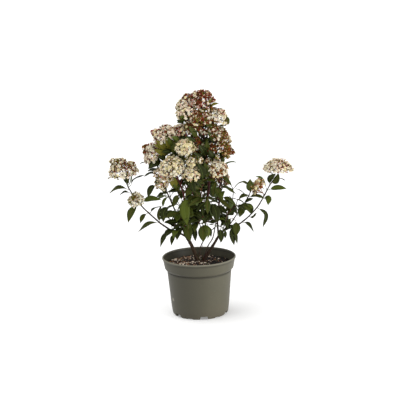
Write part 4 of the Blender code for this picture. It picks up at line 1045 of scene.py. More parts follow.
# Leaves that show on their own: three points of the midrib as they are seen, the width in mm, how far
# the upper side turns to the front, and the tint.
singleLeaves = [
    ((129, 189, -12), (119, 187, -18), (110, 193, -22), 15, 0.35, 1),
    ((130.5, 193, -12), (125, 191.5, -18), (120.5, 194.5, -24), 11, 0.2, 0),
    ((131, 185, -10), (134, 179, -6), (144, 175, 2), 12, 0.1, 0),
    ((138, 205.5, -14), (131.5, 211, -20), (128.5, 221.5, -28), 18, 0.85, 1),
    ((147, 213.5, -14), (143, 216, -22), (140.5, 222, -30), 12, 0.7, 1),
    ((142, 202, -14), (150, 198, -20), (160, 199.5, -26), 17, 0.65, 2),
    ((150, 213, -12), (154, 208, -5), (161, 206.5, 4), 11, 0.05, 0),
    ((159, 223, -12), (149, 223, -18), (139, 231.5, -24), 15, 0.35, 1),
    ((160, 222, -11), (158.6, 214, -8), (161, 206.5, -2), 9, 0.5, 1),
    ((173, 233, -6), (165, 235, -12), (160.5, 246, -20), 14, 0.5, 0),
    ((177, 233, -8), (173, 237, -16), (171.5, 244.5, -22), 12, 0.5, 0),
    ((126, 178, -12), (128, 171, -16), (133, 163, -20), 8, 0.3, 3),
    ((127, 177, -12), (131, 172.5, -16), (134.8, 175.5, -20), 9, 0.35, 2),
    ((125, 177, -12), (120, 176, -18), (116, 178, -24), 9, 0.2, 0),
    ((128.5, 186, -12), (126, 180, -16), (122, 174.5, -18), 11, 0.85, 0),
    ((129, 184, -12), (127.5, 179, -18), (126.5, 173, -20), 8, 0.6, 1),
    ((129.5, 184, -12), (131.5, 178, -16), (130.5, 171, -18), 8, 0.4, 0),
    ((269, 190, 5), (277, 187, 0), (285.5, 188.5, -6), 14, 0.85, 2),
    ((270, 184, 5), (270, 178, -2), (275, 174, -8), 15, 0.9, 0),
    ((271, 183, 5), (276, 180, 0), (278.5, 175, -4), 17, 0.9, 1),
    ((275, 178, 5), (281, 178, 0), (284.5, 180, -4), 8, 0.1, 0),
    ((275, 176, 5), (271, 172.5, 0), (268, 172.5, -3), 8, 0.1, 0),
    ((265, 189, 6), (263, 179, 0), (256, 176.5, -6), 14, 0.35, 2),
    ((263, 198, 6), (268, 197.5, 0), (268, 204, -8), 16, 0.85, 2),
    ((258, 208, 8), (266, 214, 2), (263, 226.5, -6), 12, 0.5, 0),
    ((242, 221.5, 8), (248, 223, 4), (253, 231, -2), 13, 0.3, 0),
    ((250, 216, 8), (253, 216.5, 2), (256, 213.5, -2), 9, 0.6, 1),
    ((251, 194, -4), (250, 187, -12), (250, 180, -18), 21, 1, 1),
    ((243, 203, -10), (241.5, 209, -18), (240, 216, -26), 19, 1, 1),
    ((247, 202, -6), (250, 207, -12), (251, 213, -18), 16, 1, 0),
    ((243, 203, -8), (247, 200, -14), (252, 199, -18), 12, 0.6, 0),
    ((246, 197, -4), (242, 191, -8), (236, 188.5, -12), 7, 0, 0),
    ((236, 220.5, -12), (236, 227, -20), (236, 235, -28), 22, 1, 1),
    ((230, 226, -16), (235, 234, -24), (237, 243, -30), 11, 0.8, 0),
    ((229, 225, -14), (232, 234, -24), (234, 244, -30), 15, 0.9, 0),
    ((223, 217, -20), (226, 222, -28), (228, 228, -34), 14, 0.9, 0),
    ((219, 187, -22), (227, 187.5, -26), (235, 193.5, -30), 12, 0.35, 1),
    ((222, 197, -22), (229, 199, -28), (235.5, 205, -34), 15, 0.5, 1),
    ((218, 198, -26), (224, 202, -34), (230, 208, -42), 12, 0.8, 1),
    ((221, 177, -24), (226, 179, -30), (231, 185, -34), 12, 0.5, 1),
    ((220, 228, -22), (221, 235, -30), (221, 241.5, -36), 16, 1, 0),
    ((224, 228, -18), (225.5, 232, -24), (225, 237.5, -28), 8, 0.7, 0),
    ((233, 211, -10), (229, 208, -16), (226, 211, -22), 13, 0.6, 0),
    ((238, 213, -8), (235, 209, -14), (230, 206, -20), 12, 0.5, 0),
    ((186, 197, -46), (184.5, 210, -60), (187, 224, -68), 27, 1, 2),
    ((188, 223, -28), (188, 232, -40), (190, 240, -46), 24, 1, 1),
    ((192.5, 225, -24), (194.5, 232, -34), (195.2, 240.5, -38), 14, 0.95, 0),
    ((200, 221, -20), (196, 224, -26), (192, 228, -30), 13, 0.7, 0),
    ((203, 223, -30), (203, 232, -42), (203, 241, -48), 25, 1, 1),
    ((208, 226, -24), (210, 230, -30), (211, 236, -34), 10, 0.7, 0),
    ((169, 206.5, -24), (164, 211, -34), (163.5, 221, -42), 20, 0.9, 0),
    ((183, 211.5, -28), (174, 213, -36), (163, 218, -42), 16, 0.75, 1),
    ((183, 221, -24), (173, 221, -30), (165, 222.5, -36), 15, 0.6, 0),
    ((208, 197, -44), (207.5, 205, -52), (207.5, 213, -58), 16, 1, 1),
    ((211, 202, -34), (216, 211, -46), (217, 221, -52), 24, 1, 0),
    ((205, 200, -44), (197, 200, -54), (189, 206, -60), 17, 0.8, 1),
    ((213, 186, -36), (218, 191, -48), (223, 200, -56), 17, 0.85, 1),
    ((180, 192, -30), (176, 183, -40), (169, 175, -44), 20, 0.85, 2),
    ((183, 226, -18), (178, 231, -28), (177, 239, -34), 18, 0.95, 0),
    ((182, 190, -26), (175, 190, -32), (168, 192, -36), 15, 0.45, 0),
    ((156, 185, -18), (151, 188, -24), (148.5, 196, -28), 16, 0.75, 0),
    ((169, 192.5, -16), (162, 193.5, -22), (157, 197, -26), 12, 0.35, 0),
    ((168, 196, -16), (164, 200, -20), (163, 206, -24), 10, 0.5, 2),
    ((151, 163, -14), (145, 161.5, -18), (140.5, 163.5, -20), 9, 0.05, 0),
    ((158, 174.5, -16), (151, 172.5, -20), (145, 176, -24), 13, 0.3, 0),
    ((163, 164, -20), (156, 161, -28), (149, 168, -34), 26, 0.75, 0),
    ((178, 190, -34), (174, 182, -44), (170, 173, -48), 22, 0.9, 3),
    ((181, 190, -30), (177, 197, -38), (173.5, 206, -42), 16, 0.7, 1),
    ((192, 212, -30), (199, 214, -40), (205, 221, -46), 20, 0.8, 0),
    ((214, 214, -30), (208, 216, -40), (203, 223, -44), 18, 0.8, 0),
    ((198, 188, -44), (191, 189, -54), (186, 196, -58), 18, 0.7, 1),
    ((203, 186, 30), (209, 188, 24), (212, 196, 20), 20, 0.8, 0),
    ((217, 180, -30), (214, 187, -40), (213, 196, -46), 15, 0.7, 1),
    ((197, 176, -44), (192, 182, -54), (194, 192, -60), 20, 0.9, 0),
    ((190, 121, -28), (185, 115, -38), (180, 118, -42), 17, 0.75, 2),
    ((197, 138, -26), (193, 131, -40), (189, 127, -46), 16, 0.85, 1),
    ((180, 143, -36), (176, 138, -46), (172, 137, -50), 12, 0.85, 2),
    ((168, 152, -22), (163, 146, -32), (157, 141, -36), 18, 0.9, 3),
    ((170, 150, -24), (168, 143, -36), (166, 138, -40), 16, 0.9, 3),
    ((167, 156, -24), (161, 152, -36), (155, 150, -40), 16, 0.85, 3),
    ((172, 154, -26), (173, 148, -38), (176, 143, -44), 15, 0.9, 1),
    ((209, 109, -20), (213, 104, -32), (218, 103.5, -36), 9, 0.6, 3),
    ((208, 108, -20), (208, 103, -30), (212, 99, -34), 8, 0.8, 3),
    ((184, 122, -20), (180, 119.5, -26), (177.5, 120.5, -28), 8, 0.6, 0),
    ((203, 180, -46), (202, 171, -58), (198, 164, -62), 24, 0.95, 0),
    ((207, 178, -42), (206, 170, -54), (205, 163, -58), 19, 0.95, 1),
    ((225, 116, -20), (228, 119, -22), (228.5, 123, -24), 7, 0.8, 1),
    ((213, 141, -24), (211, 136, -34), (208, 132, -38), 11, 0.8, 1),
    ((205, 156, -24), (203, 150, -36), (199, 145, -42), 17, 0.85, 0),
    ((209, 153, -22), (207, 147, -32), (207, 141, -36), 14, 0.85, 1),
    ((197, 168, -44), (193, 163, -54), (188, 160, -58), 14, 0.8, 0),
    ((200, 163, -40), (199, 157, -52), (195, 153, -56), 14, 0.8, 0),
    ((216, 158, -26), (212, 154, -36), (209, 150, -40), 14, 0.8, 0),
    ((222, 160, -20), (225, 155, -24), (229, 156, -26), 10, 0.6, 1),
    ((190, 152, -40), (187, 158, -54), (184, 160, -60), 12, 0.7, 3),
    ((196, 142, -30), (192, 139, -36), (187, 137, -40), 12, 0.8, 0),
    ((172, 152, -26), (168, 151, -34), (163, 152, -38), 14, 0.8, 0),
    ((186, 124, -26), (182, 121.5, -32), (178, 122, -36), 12, 0.7, 0),
    ((188, 123, -24), (184, 119, -30), (181, 120, -36), 12, 0.8, 1),
    ((212, 140, -24), (209, 139, -30), (206, 141, -34), 10, 0.7, 0),
    ((210, 155, -20), (207, 152, -28), (206, 148, -34), 12, 0.8, 0),
    ((165, 150, -24), (160, 146, -34), (154, 145, -38), 13, 0.9, 3),
    ((174, 147, -28), (170, 142, -38), (168, 137, -42), 12, 0.8, 2),
    ((183, 178, -30), (181, 181, -38), (178, 186, -42), 13, 0.8, 0),
    ((200, 132, -26), (197, 129, -34), (193, 131, -40), 12, 0.8, 0),
    ((214, 127, -26), (211, 124, -34), (207, 126, -40), 11, 0.8, 1),
    ((170, 160, -26), (164, 158, -36), (158, 156, -40), 14, 0.85, 0),
    ((217, 226, -22), (213, 224.5, -28), (209, 225, -32), 6, 0.1, 0),
    ((216, 226.5, -22), (213, 229, -28), (209.5, 230.5, -32), 6, 0.1, 0),
    ((238, 209, -10), (233, 211, -18), (228, 214, -24), 17, 0.95, 0),
    ((204.5, 184, -34), (202, 181, -44), (198, 182, -50), 13, 0.85, 1),
    ((203, 187, -40), (199, 182.5, -48), (194, 180, -52), 16, 0.9, 0),
    ((200, 189, -42), (196, 186.5, -50), (190, 183, -54), 14, 0.9, 1),
    ((193, 186, -42), (188, 183, -50), (184, 180, -54), 14, 0.85, 0),
    ((200, 176, -34), (203, 172, -44), (206, 170, -48), 12, 0.85, 0),
    ((219, 203, -12), (222, 208, -18), (226, 213, -22), 14, 0.9, 0),
    ((229, 215, -14), (225, 220, -20), (221, 226, -26), 13, 0.9, 0),
    ((231, 218, -12), (228, 222, -18), (226, 227, -22), 12, 0.85, 1),
    ((231, 214, -8), (226, 215, -14), (221, 217.5, -18), 8, 0.35, 0),
    ((204, 203, -30), (200, 206, -38), (197, 211, -42), 15, 0.85, 0),
    ((217, 219, -20), (213, 221.5, -26), (208, 222, -30), 11, 0.6, 0),
    ((181, 222, -20), (177, 226, -26), (173, 229, -30), 11, 0.7, 0),
    ((186, 137, -40), (189, 141, -50), (193, 145, -54), 14, 0.9, 2),
    ((203, 150, -8), (200, 143, -14), (197, 136, -18), 20, 0.85, 0),
    ((205, 161, -8), (201, 154, -12), (197, 148, -16), 20, 0.85, 0),
    ((198, 140, -10), (202, 146, -14), (206, 152, -18), 16, 0.85, 0),
    ((208, 191, 24), (205, 184, 18), (202, 176, 14), 18, 0.9, 0),
]
# Gaps that stay open to the front: middle in x and z and radius, in mm, where they cross this depth.
openingDepth = -0.020
openings = [
    (109, 324, 13), (103, 301, 13), (91, 335, 10), (92, 374, 18), (94, 353, 10), (-66, 311, 13),
    (-54, 295, 11), (-79, 296, 9), (-115, 292, 10), (-77, 231, 8), (-70, 189, 13), (-89, 237, 10),
    (-1, 213, 6), (38, 214, 9), (78, 205, 8), (88, 278, 5), (48, 214, 5), (-106, 271, 8), (114, 332, 10),
    (78, 319, 10), (88, 307, 9), (73, 311, 8), (-59, 309, 12), (-70, 312, 8), (-48, 311, 9),
    (-51, 295, 6), (-75, 340, 8), (70, 277, 6), (72, 267, 8), (102, 246, 6), (115, 249, 8), (92, 252, 5),
    (77, 251, 6), (-65, 282, 8), (-52, 282, 6), (-63, 262, 5), (-73, 261, 6), (-17, 336, 7), (-8, 311, 6),
    (7, 312, 6), (51, 349, 8), (-44, 355, 5), (-43, 344, 5), (36, 241, 8), (35, 228, 7), (-3, 218, 5),
    (-9, 271, 4), (16, 260, 4), (-123, 336, 8), (-104, 315, 6), (-144, 332, 20), (-183, 307, 10),
    (-127, 240, 10), (138, 235, 15),
]
# The same for what hangs in front of the wood alone, where a bough shows between leaves.
frontDepth = -0.006
frontOpenings = [(26, 304, 5), (28, 315, 5), (30, 326, 5), (31, 337, 5), (31, 347, 4)]
# Flower heads on twigs of their own between the large ones: middle in mm, radius in mm, look, axis.
sideHeads = [
    ((-28, -12, 548), 21, "whitePink", (-5, -3, 8)), ((70, -18, 371), 8, "whiteOrange", (5, -6, 2)),
    ((44, -24, 360), 7, "orangeBuds", (0, -8, 1)), ((22, -22, 475), 9, "russet", (2, -8, 3)),
    ((5, -24, 506), 8, "russet", (-2, -8, 3)), ((35, -22, 498), 8, "dotted", (1, -8, 3)),
    ((50, -20, 408), 10, "whiteOrange", (3, -6, 6)), ((30, -26, 402), 8, "whiteOrange", (-1, -8, 4)),
    ((65, -20, 387), 8, "whiteOrange", (5, -6, 3)), ((4, -24, 453), 10, "russet", (2, -8, 4)),
    ((10, -22, 481), 9, "russet", (2, -8, 3)), ((34, -22, 373), 8, "orangeBuds", (0, -8, 2)),
    ((54, -22, 367), 8, "orangeBuds", (2, -8, 2)), ((-8, 6, 556), 15, "halfWhite", (-3, 0, 9)),
    ((12, -24, 549), 15, "crimsonBuds", (0, -6, 7)), ((36, -22, 535), 14, "russet", (3, -6, 7)),
    ((3, -38, 518), 15, "dotted", (-1, -8, 4)), ((30, -36, 510), 14, "dotted", (2, -8, 4)),
    ((-17, -26, 490), 12, "russet", (-3, -8, 3)), ((-75, -8, 484), 19, "whitePink", (-2, -3, 9)),
    ((-96, -14, 475), 14, "whitePink", (-6, -3, 7)), ((-104, -4, 476), 9, "pinkBuds", (-8, -2, 6)),
    ((-125, -8, 429), 12, "russet", (-8, -3, 6)), ((-110, -4, 433), 13, "creamPink", (-3, -1, 9)),
    ((41, -26, 435), 14, "russet", (3, -8, 5)), ((50, -28, 485), 14, "dotted", (4, -8, 5)),
    ((68, -22, 522), 13, "whitePink", (6, -5, 7)), ((64, -24, 449), 13, "orangeBuds", (6, -7, 4)),
    ((76, -18, 417), 14, "orangeBuds", (6, -5, 4)), ((-13, -60, 407), 13, "cream", (0, -9, 3)),
    ((7, -50, 410), 11, "cream", (2, -8, 4)), ((-50, -52, 397), 13, "cream", (-3, -8, 3)),
    ((-69, -46, 366), 11, "creamPink", (-3, -8, 2)), ((-189, -10, 406), 13, "open", (-1, 0, 9)),
    ((-209, -12, 395), 10, "open", (-6, -2, 7)), ((145, -6, 331), 14, "peach", (-6, -3, 7)),
    ((-3, -18, 463), 12, "russet", (-2, -8, 4)), ((9, -22, 440), 12, "russet", (0, -8, 4)),
    ((3, -30, 492), 13, "russet", (0, -9, 2)), ((26, -14, 433), 10, "brownBuds", (0, -8, 4)),
    ((42, -24, 478), 13, "dotted", (2, -8, 4)), ((65, -22, 477), 13, "dotted", (5, -7, 5)),
    ((35, -36, 512), 13, "dotted", (0, -9, 3)), ((78, -16, 500), 10, "halfWhite", (7, -4, 5)),
    ((63, -16, 524), 10, "halfWhite", (6, -4, 7)), ((-115, -10, 439), 15, "whitePink", (-4, -3, 8)),
    ((-127, -8, 439), 9, "russet", (-6, -2, 7)), ((46, -20, 429), 10, "orangeBuds", (2, -8, 4)),
    ((79, -14, 434), 13, "orangeBuds", (7, -6, 3)), ((91, -12, 421), 8, "orangeBuds", (8, -4, 2)),
    ((-154, -22, 317), 13, "pale", (1, -6, 6)), ((-168, -20, 307), 10, "pale", (-5, -5, 4)),
    ((-199, -14, 405), 12, "open", (0, -3, 9)), ((158, -10, 339), 15, "peach", (-4, -5, 7)),
    ((-20, -10, 563), 12, "russet", (-4, -3, 8)), ((-40, -12, 539), 10, "halfWhite", (-8, -3, 3)),
    ((-37, -12, 516), 10, "halfWhite", (-7, -4, 0)), ((-162, -12, 397), 10, "open", (4, -3, 8)),
    ((-211, -12, 406), 9, "open", (-4, -2, 8)), ((-17, -24, 507), 10, "russet", (-4, -8, 1)),
    ((-58, -22, 480), 10, "whitePink", (0, -6, 6)), ((-10, -30, 480), 10, "dotted", (-3, -8, 2)),
]
# Leafy twigs that fill the shrub out: tip in mm, how long, pairs of leaves, leaf length in mm, droop.
leafyTwigs = [
    ((-62, 58, 262), 48, 3, 46, 70), ((-22, 74, 258), 44, 3, 46, 75), ((34, 78, 262), 44, 3, 48, 75),
    ((76, 60, 276), 46, 3, 46, 70), ((-84, 44, 300), 50, 3, 42, 60), ((98, 44, 290), 46, 3, 42, 60),
    ((4, 84, 312), 46, 3, 44, 65), ((44, 86, 352), 44, 3, 42, 60), ((-38, 88, 370), 44, 3, 40, 60),
    ((-32, 60, 330), 46, 3, 44, 70), ((36, 62, 316), 46, 3, 44, 70), ((86, 46, 330), 44, 3, 40, 60),
    ((-80, 42, 352), 44, 3, 40, 60), ((-70, 18, 316), 44, 3, 44, 65), ((84, 20, 300), 44, 3, 42, 65),
    ((-14, 30, 400), 46, 3, 38, 60), ((34, 34, 420), 46, 3, 38, 60), ((70, 30, 380), 44, 2, 38, 55),
    ((-56, 26, 420), 44, 2, 38, 55), ((8, 36, 470), 40, 2, 34, 50), ((40, 16, 480), 40, 2, 34, 50),
    ((-22, 14, 470), 40, 2, 34, 50), ((-38, -24, 290), 44, 2, 48, 80), ((-22, -28, 336), 44, 2, 46, 80),
    ((80, -14, 280), 44, 2, 42, 70), ((-60, -14, 262), 44, 1, 44, 70), ((108, -16, 286), 40, 2, 40, 65),
    ((2, 12, 330), 40, 3, 46, 70), ((-34, 10, 300), 40, 3, 46, 70), ((10, 20, 250), 40, 3, 46, 75),
    ((-40, 24, 250), 40, 3, 46, 75), ((6, 6, 520), 36, 3, 32, 55), ((34, 4, 516), 36, 3, 32, 55),
    ((20, -10, 500), 34, 3, 32, 60), ((-6, 0, 496), 36, 3, 34, 60), ((46, 2, 484), 36, 3, 34, 60),
    ((30, 10, 456), 36, 3, 36, 60), ((58, 4, 446), 36, 3, 34, 60), ((8, 4, 440), 36, 3, 36, 60),
    ((-48, 8, 452), 36, 3, 36, 60), ((-72, 4, 438), 36, 3, 36, 60), ((-30, -4, 436), 36, 3, 36, 60),
    ((52, 0, 410), 36, 3, 38, 60), ((24, 0, 404), 36, 3, 38, 60), ((-20, -10, 400), 36, 3, 38, 60),
    ((-52, -8, 396), 36, 3, 38, 60), ((-84, 4, 396), 36, 2, 36, 60), ((-34, -18, 366), 36, 3, 40, 65),
    ((60, -12, 372), 36, 3, 40, 60), ((0, -14, 372), 36, 3, 42, 65), ((36, -16, 368), 36, 3, 42, 65),
    ((20, 2, 536), 30, 2, 28, 50), ((-2, -32, 286), 40, 2, 50, 85), ((-26, -34, 268), 40, 2, 50, 85),
    ((14, -30, 256), 36, 2, 48, 85), ((-48, -28, 246), 36, 2, 46, 80),
]
# Thin shoots round the stems' feet: foot x, y and tip in mm, radius in mm, bark.
footShoots = [
    ((2, 4), (-6, -2, 158), 0.7, 2), ((5, 0), (3, -8, 163), 0.6, 0), ((8, 4), (12, -4, 160), 0.7, 2),
    ((0, 8), (-2, 12, 171), 0.7, 0), ((7, 8), (10, 12, 176), 0.8, 0), ((10, 2), (18, -5, 154), 0.6, 1),
    ((-6, 2), (-13, -5, 152), 0.6, 0), ((12, 6), (22, 2, 158), 0.7, 1), ((4, 12), (-8, 22, 164), 0.6, 0),
    ((14, 12), (24, 18, 166), 0.6, 0), ((9, -1), (13, -10, 149), 0.5, 1),
    ((3, -2), (-3, -12, 149), 0.5, 2),
]


def varied(chance, spread):
    return chance.uniform(1 - spread, 1 + spread)


# Where a shoot's stem, its leaves and its flower head stand, by the rule that the solids follow.
def growShoot(spec, chance, startGap):
    path = smoothPath(spec["path"], growth["shootSteps"])
    total = lengthsAlong(path)[-1]
    pairs = spec["pairs"]
    first = min(growth["firstPair"], total * growth["firstPairShare"])
    last = total - (growth["lastPair"] if spec["head"] else growth["endPair"])
    nodes = [first + (last - first) * i / max(1, pairs - 1) for i in range(pairs)]
    if pairs == 1:
        nodes = [total * growth["lonePairShare"]]
    spots = [(startGap, None)]
    for i, node in enumerate(nodes):
        spots += [(node - growth["nodeHalf"], i), (node + growth["nodeHalf"], i)]
    spots.append((total, None))
    for (a, _), (b, _) in list(zip(spots, spots[1:])):
        pieces = int((b - a) / growth["ringSpacing"])
        spots += [(a + (b - a) * k / (pieces + 1), None) for k in range(1, pieces + 1)]
    spots.sort(key=lambda spot: spot[0])

    heading = placeOn(path, 0.0)[1]
    side = heading.cross(Vector((0, 1, 0)))
    side = (side if side.length > growth["aside"] else heading.cross(Vector((1, 0, 0)))).normalized()
    twist, ringBefore, nodeBefore, feet = 0.0, None, None, []
    for distance, node in spots:
        centre, ahead = placeOn(path, distance)
        side = heading.rotation_difference(ahead) @ side
        heading = ahead
        if node is not None:
            aim = spec["phase"] + spec["turn"] * node
            twist += (aim - twist + 45) % 90 - 45
        radius = spec["radius"] * (1 - growth["taper"] * distance / total)
        other = heading.cross(side)
        ring = [
            centre + radius * around(side, other, math.radians(twist - 45 + 90 * k)) for k in range(4)
        ]
        if node is not None and nodeBefore == node:
            quarter = round((spec["phase"] + spec["turn"] * node - twist) / 90)
            for k in (k for k in range(4) if (k - quarter) % 2 == 0):
                j = (k + 1) % 4
                feet.append(([ringBefore[k], ringBefore[j], ring[j], ring[k]], heading.copy(), node))
        ringBefore, nodeBefore = ring, node

    cyme = growHead(spec["head"], path[-1], ringBefore[0], chance) if spec["head"] else None
    leaves = [growLeaf(foot, along, spec, node / max(1, pairs), chance) for foot, along, node in feet]
    return {"path": path, "leaves": leaves, "head": cyme, "radius": spec["radius"]}


def growLeaf(foot, along, spec, place, chance):
    root = sum(foot, Vector()) / len(foot)
    out = (foot[1] - foot[0]).cross(foot[3] - foot[0]).normalized()
    length = spec["leaf"] * varied(chance, leafRule["lengthSpread"]) * (1 - leafRule["shrink"] * place)
    width = length * leafRule["widthShare"] * varied(chance, leafRule["widthSpread"])
    tries = []
    for _ in range(leafRule["tries"]):
        lean = math.radians(chance.uniform(*leafRule["lean"]))
        swing = Matrix.Rotation(chance.uniform(-leafRule["swing"], leafRule["swing"]), 3, along)
        direction = (swing @ out * math.sin(lean) + along * math.cos(lean)).normalized()
        droop = math.radians(spec["droop"] * varied(chance, leafRule["droopSpread"]))
        roll = chance.uniform(-leafRule["roll"], leafRule["roll"])
        tries.append((root, direction, length, width, droop, roll))
    return tries


def growHead(spec, tip, beside, chance):
    radius, spread = spec["radius"], spec["spread"]
    axis = Vector(spec["axis"]).normalized()
    centre = tip + axis * growth["headRise"]
    rays = max(count for least, count in growth["rays"] if radius >= least)
    start = beside - centre
    first = (start - start.dot(axis) * axis).normalized()
    turn = Matrix.Rotation(math.pi / rays / 2, 3, axis)

    def onDome(tilt, flat, reach=1.0):
        tilt = spread * tilt
        return centre + radius * reach * (
            math.sin(tilt) * flat + growth["flatness"] * math.cos(tilt) * axis
        )

    made = []
    for k in range(rays):
        flat = Matrix.Rotation(math.tau * k / rays, 3, axis) @ first
        fork = centre + (onDome(growth["forkTilt"], flat) - centre) * growth["rayFork"]
        reach = [chance.uniform(*growth["clusterReach"]) for _ in range(3)]
        made.append((fork, [
            onDome(growth["outerTilt"], turn @ flat, reach[0]),
            onDome(growth["innerTilt"], flat, reach[1]),
            onDome(growth["outerTilt"], turn.inverted() @ flat, reach[2]),
        ]))
    top = onDome(0.0, axis, growth["topReach"])
    return {**spec, "centre": centre, "axis": axis, "rays": made, "top": top}


# The midrib's points, and the level direction across it.
def leafCurve(root, direction, length, droop):
    across = direction.cross(Vector((0, 0, -1)))
    if across.length < leafRule["levelEnough"]:
        across = direction.orthogonal()
    across.normalize()
    centre, heading, knots, before = root.copy(), direction.copy(), [root.copy()], 0.0
    for share in leafRule["bends"]:
        bend = Matrix.Rotation(-droop * (share - before), 3, across)
        if (bend @ heading).z > heading.z:
            bend.invert()
        centre = centre + heading * (share - before) * length
        heading = bend @ heading
        before = share
        knots.append(centre.copy())
    return knots, across


# Half the blade's width, as a share, at each share of its length.
def bladeOutline(u):
    return max(0.0, math.sin(math.pi * u ** 0.80)) ** (0.78 + 0.30 * u)


# The part of one direction that lies square to another.
def squareTo(direction, other):
    return (other - other.dot(direction) * direction).normalized()


# The level direction across a leaf, turned about its midrib until its upper side looks more to the front.
def turnedAcross(direction, across, roll, front, share):
    across = Matrix.Rotation(roll, 3, direction) @ squareTo(direction, across)
    above = direction.cross(across).normalized()
    wanted = Vector(front) - direction * direction.dot(Vector(front))
    above = (above * (1 - share) + wanted.normalized() * share).normalized()
    return above.cross(direction).normalized()


# A leaf on its stalk: the midrib's points, the width, the direction across it, and the stalk's length.
def addLeaf(heap, knots, width, across, stalkLength, tint, chance):
    curve = smoothPath(knots, 5)
    total = lengthsAlong(curve)[-1]
    petiole = min(leaf["longestPetiole"], stalkLength / total)
    phase = chance.uniform(0, math.tau)
    rib, under = 4 + tint % 2, 6
    points, faces, slots = [], [], []
    count, flank, deep = leaf["stations"], leaf["flank"], leaf["thickness"]
    for i in range(count):
        u = i / count
        along = min(petiole + (1 - petiole) * u, leaf["curveEnd"])
        centre, heading = placeOn(curve, total * along)
        ribAcross = squareTo(heading, across)
        above = heading.cross(ribAcross).normalized()
        wide = bladeOutline(max(u, leaf["bladeStart"]))
        half = max(width / 2 * wide, leaf["leastHalf"])
        ribHalf = leaf["ribHalf"] * (1 - leaf["ribTaper"] * u)
        wave = leaf["wave"] * wide * math.sin(phase + leaf["waves"] * u)
        edge = leaf["fold"] * width * wide
        middle = edge * 0.5 + leaf["bulge"] * wide - (leaf["quilt"] * wide if i % 2 else 0.0)
        section = (
            (-half, edge + wave), (-flank * half, middle), (-ribHalf, 0.0), (ribHalf, 0.0),
            (flank * half, middle), (half, edge - wave),
            (flank * half, middle - deep), (0.0, -leaf["ribKeel"]), (-flank * half, middle - deep),
        )
        points += [centre + ribAcross * x + above * z for x, z in section]
    points.append(placeOn(curve, total * leaf["curveEnd"])[0])
    kinds = (tint, tint, rib, tint, tint, under, under, under, under)
    ring, tip = len(kinds), len(points) - 1
    for i in range(count):
        for k in range(ring):
            a, b = i * ring + k, i * ring + (k + 1) % ring
            faces.append((a, b, b + ring, a + ring) if i < count - 1 else (a, b, tip))
            slots.append(kinds[k])
    heap.add(points, [*faces, tuple(reversed(range(ring)))], [*slots, rib])
    stalk = [placeOn(curve, total * petiole * s)[0] for s in (0.0, 0.35, 0.7, 1.04)]
    stalk[0] = stalk[0] + (stalk[0] - stalk[1]).normalized() * leaf["petioleSunk"]
    radii = [leaf["petioleRadius"] * swell for swell in leaf["petioleSwell"]]
    heap.add(*tube(stalk, radii, leaf["petioleSides"]), rib)


bloom = {
    "petalRadius": 0.0037,
    "spacing": 0.0062,
    "packing": 0.87,  # the share of its spacing's square that one flower takes up
    "spiral": 2.39996,  # radians from one flower to the next
    "stalkLength": 0.0075,
    "longestStalk": 0.6,  # as a share of its branch
    "stalkSwell": 0.00066,
    "swellBelow": 0.0002,
    "stalkTip": 0.0009,  # how far the stalk runs on into its flower or bud
    "tubeDepth": 0.0012,
    "inward": 0.18,  # how far the dome's surface dips, as a share of its radius
    "dipEvery": 2.6,
    "gather": 0.24,  # how far a flower is drawn to the middle of its cluster
    "uneven": (-0.0030, 0.0024),  # how far a flower stands below or above the dome
    "upward": 0.25,  # how much it faces along the head's axis
    "askew": 0.28,
    "sizeSpread": 0.14,
    "patchy": 0.9,  # how much the clusters of one head differ in how many flowers are open
    "innerBuds": 1.0,  # buds and bracts below the surface for each flower on it
    "innerReach": (0.70, 0.90),
    "innerSize": 1.5,
    "budSize": 1.15,
    "budSizes": (0.85, 1.2),
    "budsTogether": 2,
    "budsApart": 0.0024,
    "budsLower": 0.0015,
    "paleTips": 0.08,  # the share of buds that have a tip of the last tint
    "rayRadii": (0.0009, 0.00075, 0.0006),  # a ray at its foot and above it, and its branches
    "rayArc": 0.0004,
    "branchArc": 0.0006,
    "topFork": 0.003,  # how far above the hub the middle cluster's ray begins
    "hubSunk": 0.002,
    "calmTop": (0.2, 0.5),  # the dome dips this much less within this angle of its top
    "gatherFrom": 1.3,
    "shuffle": 0.25,  # radians that a flower may stray round the dome
}
petalTints = {
    "petalWhite": (248, 241, 220), "petalCream": (242, 228, 176), "petalBlush": (244, 224, 202),
    "petalPink": (206, 142, 136), "petalAged": (198, 156, 100),
}
corollaTints = {
    "petalBackCream": (226, 206, 158), "petalBackPink": (204, 160, 140), "petalThroat": (206, 198, 140),
}
budTints = {
    "budCrimson": (124, 30, 24), "budRose": (164, 80, 70), "budRusset": (106, 58, 26),
    "budOrange": (150, 84, 36), "budOlive": (104, 98, 28), "budPale": (224, 192, 162),
}
stalkTints = {"stalkRed": (114, 38, 20), "stalkGreen": (98, 100, 32), "stalkBrown": (116, 74, 32)}
